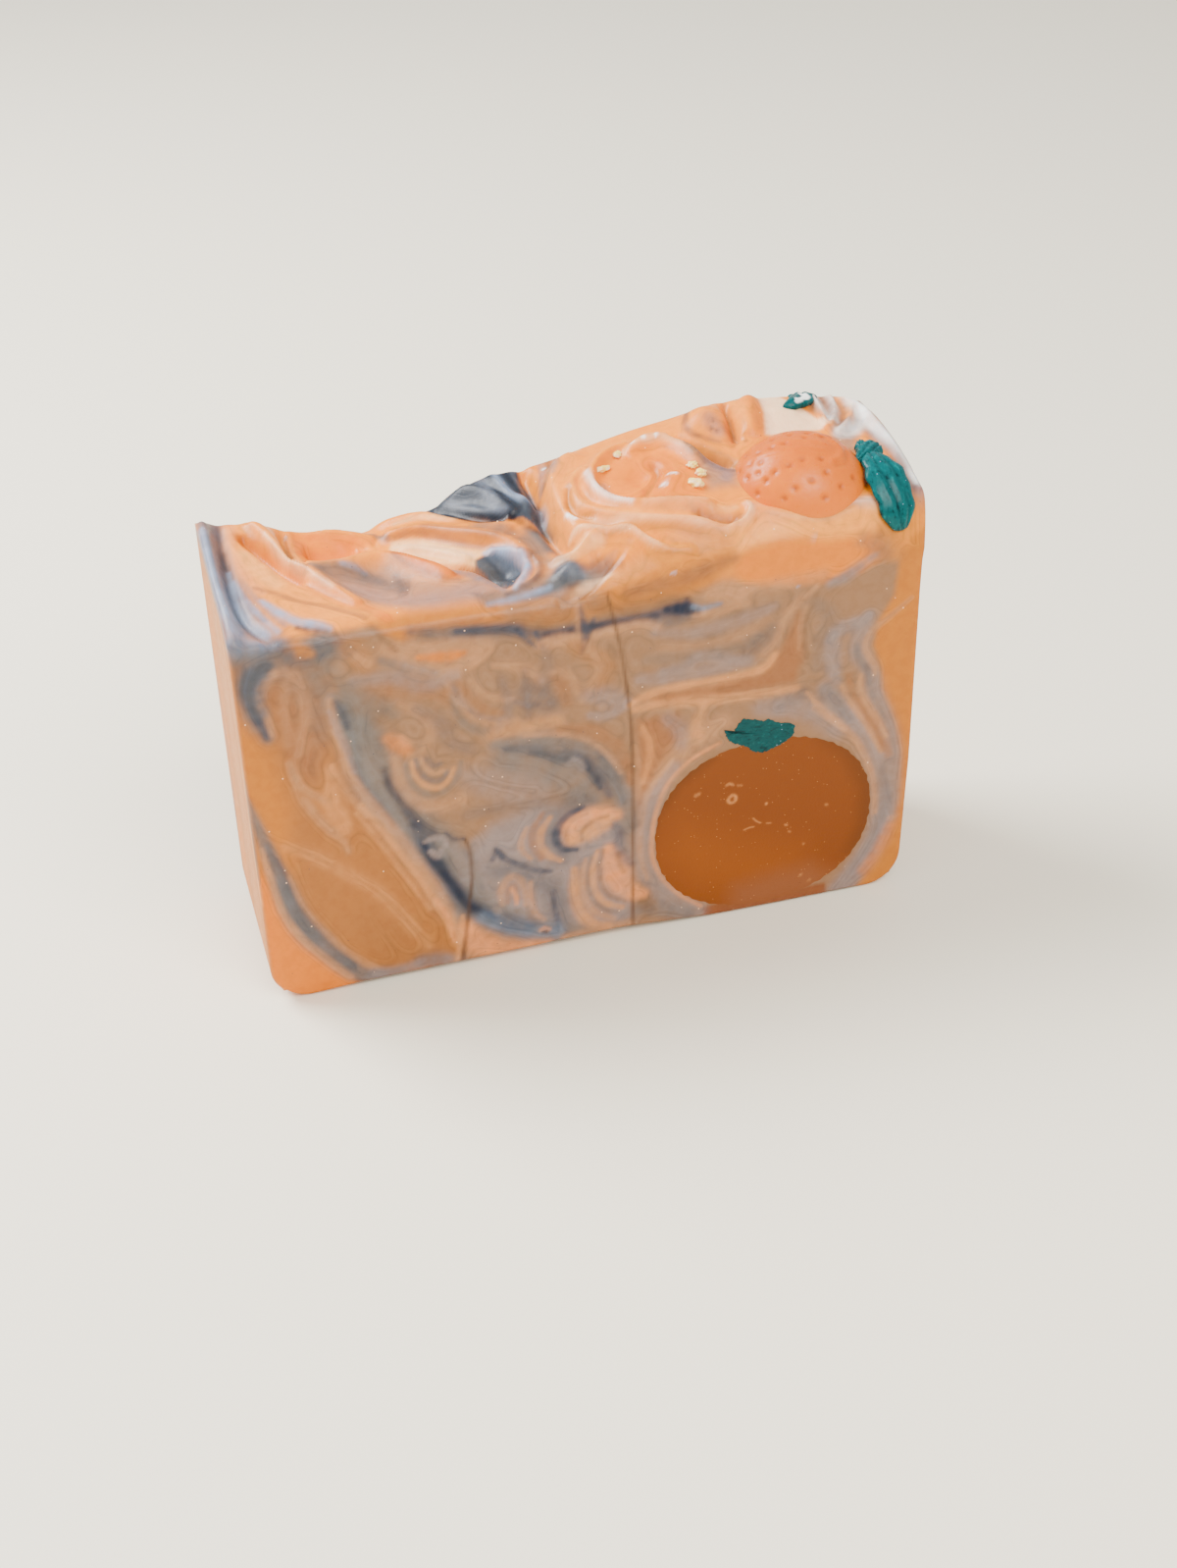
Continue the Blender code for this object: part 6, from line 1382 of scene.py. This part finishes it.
def make_round_leaf():
    """The ragged green strip on top of the column, cut flush with it."""
    points, faces = column(ragged_outline(ROUND_LEAF, RAGGED_STEP, 0.06), LEAF_RINGS)
    points[:, 1] *= (HALF_THICKNESS + 2 * PROUD) / (HALF_THICKNESS + PROUD)
    leaf = leaf_material("green_soap_cut", (1.0, 1.0, 2.0), 0.45)
    piece = add_piece("leaf_strip", points, faces, leaf, ["round_leaf"])
    add_attributes(piece.data, crease=np.zeros(len(points)), smear=np.zeros(len(points)))
    sharpen_edges(piece)


def direction(azimuth, elevation):
    """The unit vector at an azimuth and an elevation in degrees."""
    a, e = math.radians(azimuth), math.radians(elevation)
    return np.array([math.cos(e) * math.cos(a), math.cos(e) * math.sin(a), math.sin(e)])


def peel_pits():
    """The pits seen in the photograph and, all round, others at least a spacing apart."""
    pits = [direction(*pit) for pit in PITS]
    chance = np.random.default_rng(PIT_SEED)
    seen = len(pits)
    while len(pits) < seen + OTHER_PITS:
        spot = chance.normal(size=3)
        spot /= np.linalg.norm(spot)
        gap = PIT_SPACING if spot[1] > -0.2 else FRONT_PIT_SPACING
        if min(np.linalg.norm(spot - pit) for pit in pits) > gap:
            pits.append(spot)
    return pits


def peel_material():
    """Orange peel soap: painted shade, a fine grain and a soft gloss."""
    s = Shader("orange_peel_soap")
    tint = s.attribute("tint", "Color")
    shade = s.mix(s.ramp(s.noise(0.8, 4.0), 0.4, 0.7, 0.0, 0.15), tint, opaque("peel_pink"))
    shade = s.mix(s.math("MULTIPLY", s.dots(1.8, 0.10, 0.20), 0.35), shade, opaque("top_cream"))
    skin = s.bump(s.noise(3.0, 4.0), 0.30, 0.08 * MM)
    glow(s, 0.25, 1.6, PEEL_SHINE)
    return s.finish(Base_Color=shade, Roughness=s.ramp(s.noise(1.5, 3.0), 0.3, 0.7, 0.26, 0.42), Normal=skin)


def unit_ball(subdivisions):
    """An even ball of triangles: its points' directions from the centre, and its faces."""
    ball = bmesh.new()
    bmesh.ops.create_icosphere(ball, subdivisions=subdivisions, radius=1.0)
    ways = np.array([vert.co.normalized() for vert in ball.verts])
    faces = [[vert.index for vert in face.verts] for face in ball.faces]
    ball.free()
    return ways, faces


def peel_depths(ways):
    """How deep the peel lies under a plain ball, and how far each point is in a pit."""
    depth = STEM_DEPTH * gaussian(np.linalg.norm(ways - direction(*STEM), axis=1), STEM_WIDTH)
    pitted = np.zeros(len(ways))
    for pit in peel_pits():
        pitted = np.maximum(pitted, gaussian(np.linalg.norm(ways - pit, axis=1), PIT_WIDTH))
    depth = depth + PIT_DEPTH * pitted
    for height, width, points in PEEL_CREASES:
        line = smooth_line([direction(*point) for point in points], PROFILE_SAMPLES)
        nearest = np.min([np.linalg.norm(ways - spot, axis=1) for spot in line], axis=0)
        depth = depth - height * gaussian(nearest, width)
    return depth, pitted


def peel_colours(ways, pitted):
    """The peel's paint, pinker towards the front, with painted shade darkening the pits."""
    front = smoothstep(-0.1, 0.9, -ways[:, 1] - 0.3 * ways[:, 2])[:, None]
    peel, pink, pit = (np.array(PAINTS[name]) for name in ("peel", "peel_pink", "pit"))
    colour = peel + (pink - peel) * PINKNESS * front
    # Painted shade in the pits
    return colour + (pit - colour) * (PIT_SHADE * pitted)[:, None]


def make_small_orange():
    """The moulded orange, sunk into the top: pitted peel, strata round its back and a stem dimple."""
    ways, faces = unit_ball(ORANGE_SUBDIVISIONS)
    depth, pitted = peel_depths(ways)
    local = ways * np.array(ORANGE_HALF_SIZES) - ways * depth[:, None]
    tilt = np.array(Matrix.Rotation(ORANGE_TILT, 3, "Y"))
    points = local @ tilt.T + np.array(ORANGE_CENTRE)
    piece = add_piece("moulded_orange", points, faces, peel_material(), ["small_orange"])
    add_attributes(piece.data, peel_colours(ways, pitted))


def leaf_section(share, left_width, right_width):
    """A section across a leaf: how far out and up its points lie, and how much painted shade its folds and
    underside get.
    """
    angles = np.linspace(0, 2 * math.pi, LEAF_SIDES, endpoint=False)
    side, lift = np.cos(angles), np.sin(angles)
    end = math.sqrt(max(1 - (2 * share - 1) ** 8, 0.0)) * (1 - LEAF_END) + LEAF_END
    half_width = np.where(side > 0, max(left_width, LEAST_WIDTH), max(right_width, LEAST_WIDTH))
    wave = 1 + 0.05 * math.sin(share * 17) + 0.04 * math.sin(share * 31 + 1)
    spread = side * half_width * wave * end
    height = np.sign(lift) * np.abs(lift) ** 0.8 * LEAF_HALF_THICKNESS * end
    bend = share * FOLD_BEND
    relief = sum(tall * gaussian(side - place - bend, wide) for tall, wide, place in LEAF_FOLDS)
    height = height + np.where(lift > 0.05, relief, 0.0) * end
    # Painted shade: the folds' valleys darken the upper face, and the underside is darkened evenly
    return spread, height, np.where(lift > 0.05, np.clip(-relief * 4, 0, 0.6), 0.35)


def blade(rib, left, right, facing):
    """A leaf of soap: points and faces of an oval section drawn along its rib, with folds down its face."""
    spans = LEAF_STATIONS // (len(rib) - 1)
    line = smooth_line(rib, spans)
    lefts, rights = (smooth_line(list(enumerate(side)), spans)[:, 1] for side in (left, right))
    last = len(line) - 1
    rings, creases = [], []
    for i, centre in enumerate(line):
        ahead = Vector(line[min(i + 1, last)] - line[max(i - 1, 0)]).normalized()
        across = facing.cross(ahead).normalized()
        up = np.array(ahead.cross(across).normalized())
        spread, height, crease = leaf_section(i / last, lefts[i], rights[i])
        rings.append(centre + spread[:, None] * np.array(across) + height[:, None] * up)
        creases.append(crease)
    count = LEAF_SIDES
    faces = [face for i in range(last) for face in band(i * count, (i + 1) * count, count)]
    faces += [tuple(range(count))[::-1], tuple(range(last * count, (last + 1) * count))]
    return np.concatenate(rings), faces, np.concatenate(creases)


def make_leaf(name, blades, replaced):
    """Leaves pressed together into one piece, trimmed by the back cut, with any smear of white soap."""
    points, faces, creases = np.zeros((0, 3)), [], []
    for rib, left, right, facing in blades:
        more, new_faces, crease = blade(rib, left, right, facing)
        faces += [[i + len(points) for i in face] for face in new_faces]
        points = np.concatenate([points, more])
        creases.append(crease)
    points[:, 1] = np.minimum(points[:, 1], HALF_THICKNESS)
    faces = outward_faces(points.tolist(), faces)
    leaf = leaf_material(f"green_soap_{name}", (2.0, 1.0, 1.0))
    piece = add_piece(name, points, faces, leaf, [replaced])
    smear = np.zeros(len(points))
    for strength, softness, stroke in SMEAR:
        distance, _, width = along_stroke(points[:, :2], smooth_line(stroke, STROKE_SAMPLES))
        smear = np.maximum(smear, strength * smoothstep(0, 1, 1 - (distance - width) / softness))
    # The painted shade of the folds and underside, and the white smear
    add_attributes(piece.data, crease=np.concatenate(creases), smear=smear)


def crumb_material():
    """Crumbs of soap: pale, softly mottled and shiny."""
    s = Shader("crumb_soap")
    shade = s.mix(s.ramp(s.noise(1.2, 3.0), 0.35, 0.65), opaque("crumb"), opaque("top_cream"))
    glow(s, 0.5, 1.0, CRUMB_SHINE)
    return s.finish(Base_Color=shade, Roughness=0.25, Normal=s.bump(s.noise(2.0, 3.0), 0.5, 0.15 * MM))


def make_crumbs():
    """Loose crumbs and flakes of soap stuck to the mound."""
    ways, ball_faces = unit_ball(CRUMB_SUBDIVISIONS)
    points, faces = np.zeros((0, 3)), []
    for turn, ((x, y), sizes) in enumerate(CRUMBS):
        faces += [[i + len(points) for i in face] for face in ball_faces]
        coarse = 0.12 * np.sin(ways @ np.array([5.0, 3.0, 4.0]) + turn)
        lumps = 1 + coarse + 0.08 * np.sin(ways @ np.array([-7.0, 6.0, 5.0]))
        spun = np.array(Matrix.Rotation(turn * CRUMB_TURN, 3, "Z"))
        level = top_height(np.array([x]), np.array([y]))[0]
        place = np.array([x, y, level + CRUMB_LIFT * sizes[2]])
        points = np.concatenate([points, (ways * lumps[:, None] * np.array(sizes)) @ spun.T + place])
    add_piece("crumbs", points, faces, crumb_material(), [])


def make_floor():
    """The pale floor that the bar stands on, which is no part of it."""
    mesh = bpy.data.meshes.new("floor")
    h = FLOOR_HALF
    mesh.from_pydata([(-h, -h, 0), (h, -h, 0), (h, h, 0), (-h, h, 0)], [], [(0, 1, 2, 3)])
    mesh.materials.append(Shader("pale_floor").finish(Base_Color=FLOOR_COLOUR, Roughness=0.6))
    floor = bpy.data.objects.new("floor", mesh)
    bpy.context.scene.collection.objects.link(floor)


def make_lights():
    """Two soft lamps that face the bar, and an even sky."""
    for name, place, size, power, colour in LIGHTS:
        light = bpy.data.lights.new(name, "AREA")
        light.size, light.energy, light.color = size, power, colour
        lamp = bpy.data.objects.new(name, light)
        lamp.location = place
        lamp.rotation_euler = (Vector(LIGHT_TARGET) - Vector(place)).to_track_quat("-Z", "Y").to_euler()
        bpy.context.scene.collection.objects.link(lamp)
    world = bpy.data.worlds.new("studio")
    world.use_nodes = True
    sky = world.node_tree.nodes["Background"].inputs
    sky["Color"].default_value = SKY_COLOUR
    sky["Strength"].default_value = SKY_STRENGTH
    bpy.context.scene.world = world


def make_camera():
    """The photograph's camera."""
    camera = bpy.data.objects.new("camera", bpy.data.cameras.new("camera"))
    turn = Matrix([CAMERA_RIGHT, CAMERA_UP, [-c for c in CAMERA_AHEAD]]).transposed()
    camera.matrix_world = Matrix.Translation(CAMERA_PLACE * MM) @ turn.to_4x4()
    camera.data.sensor_width = SENSOR
    camera.data.lens = FOCAL_LENGTH / PICTURE_HEIGHT * SENSOR
    camera.data.clip_start = 0.01
    bpy.context.scene.collection.objects.link(camera)
    bpy.context.scene.camera = camera


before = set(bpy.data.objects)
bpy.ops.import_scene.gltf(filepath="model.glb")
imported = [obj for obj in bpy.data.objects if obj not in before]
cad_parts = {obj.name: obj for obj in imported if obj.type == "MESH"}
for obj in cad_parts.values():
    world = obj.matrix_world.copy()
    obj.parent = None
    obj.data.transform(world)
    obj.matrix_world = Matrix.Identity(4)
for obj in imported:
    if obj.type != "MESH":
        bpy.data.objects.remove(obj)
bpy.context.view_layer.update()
make_camera()
make_lights()
make_floor()
make_bar()
make_round()
make_round_leaf()
make_small_orange()
make_leaf("leaf_pair", [LARGE_LEAF, SMALL_LEAF, SMALL_LEAF_TIP], "front_leaf")
make_leaf("leaf_fragment", [BACK_LEAF], "back_leaf")
make_crumbs()
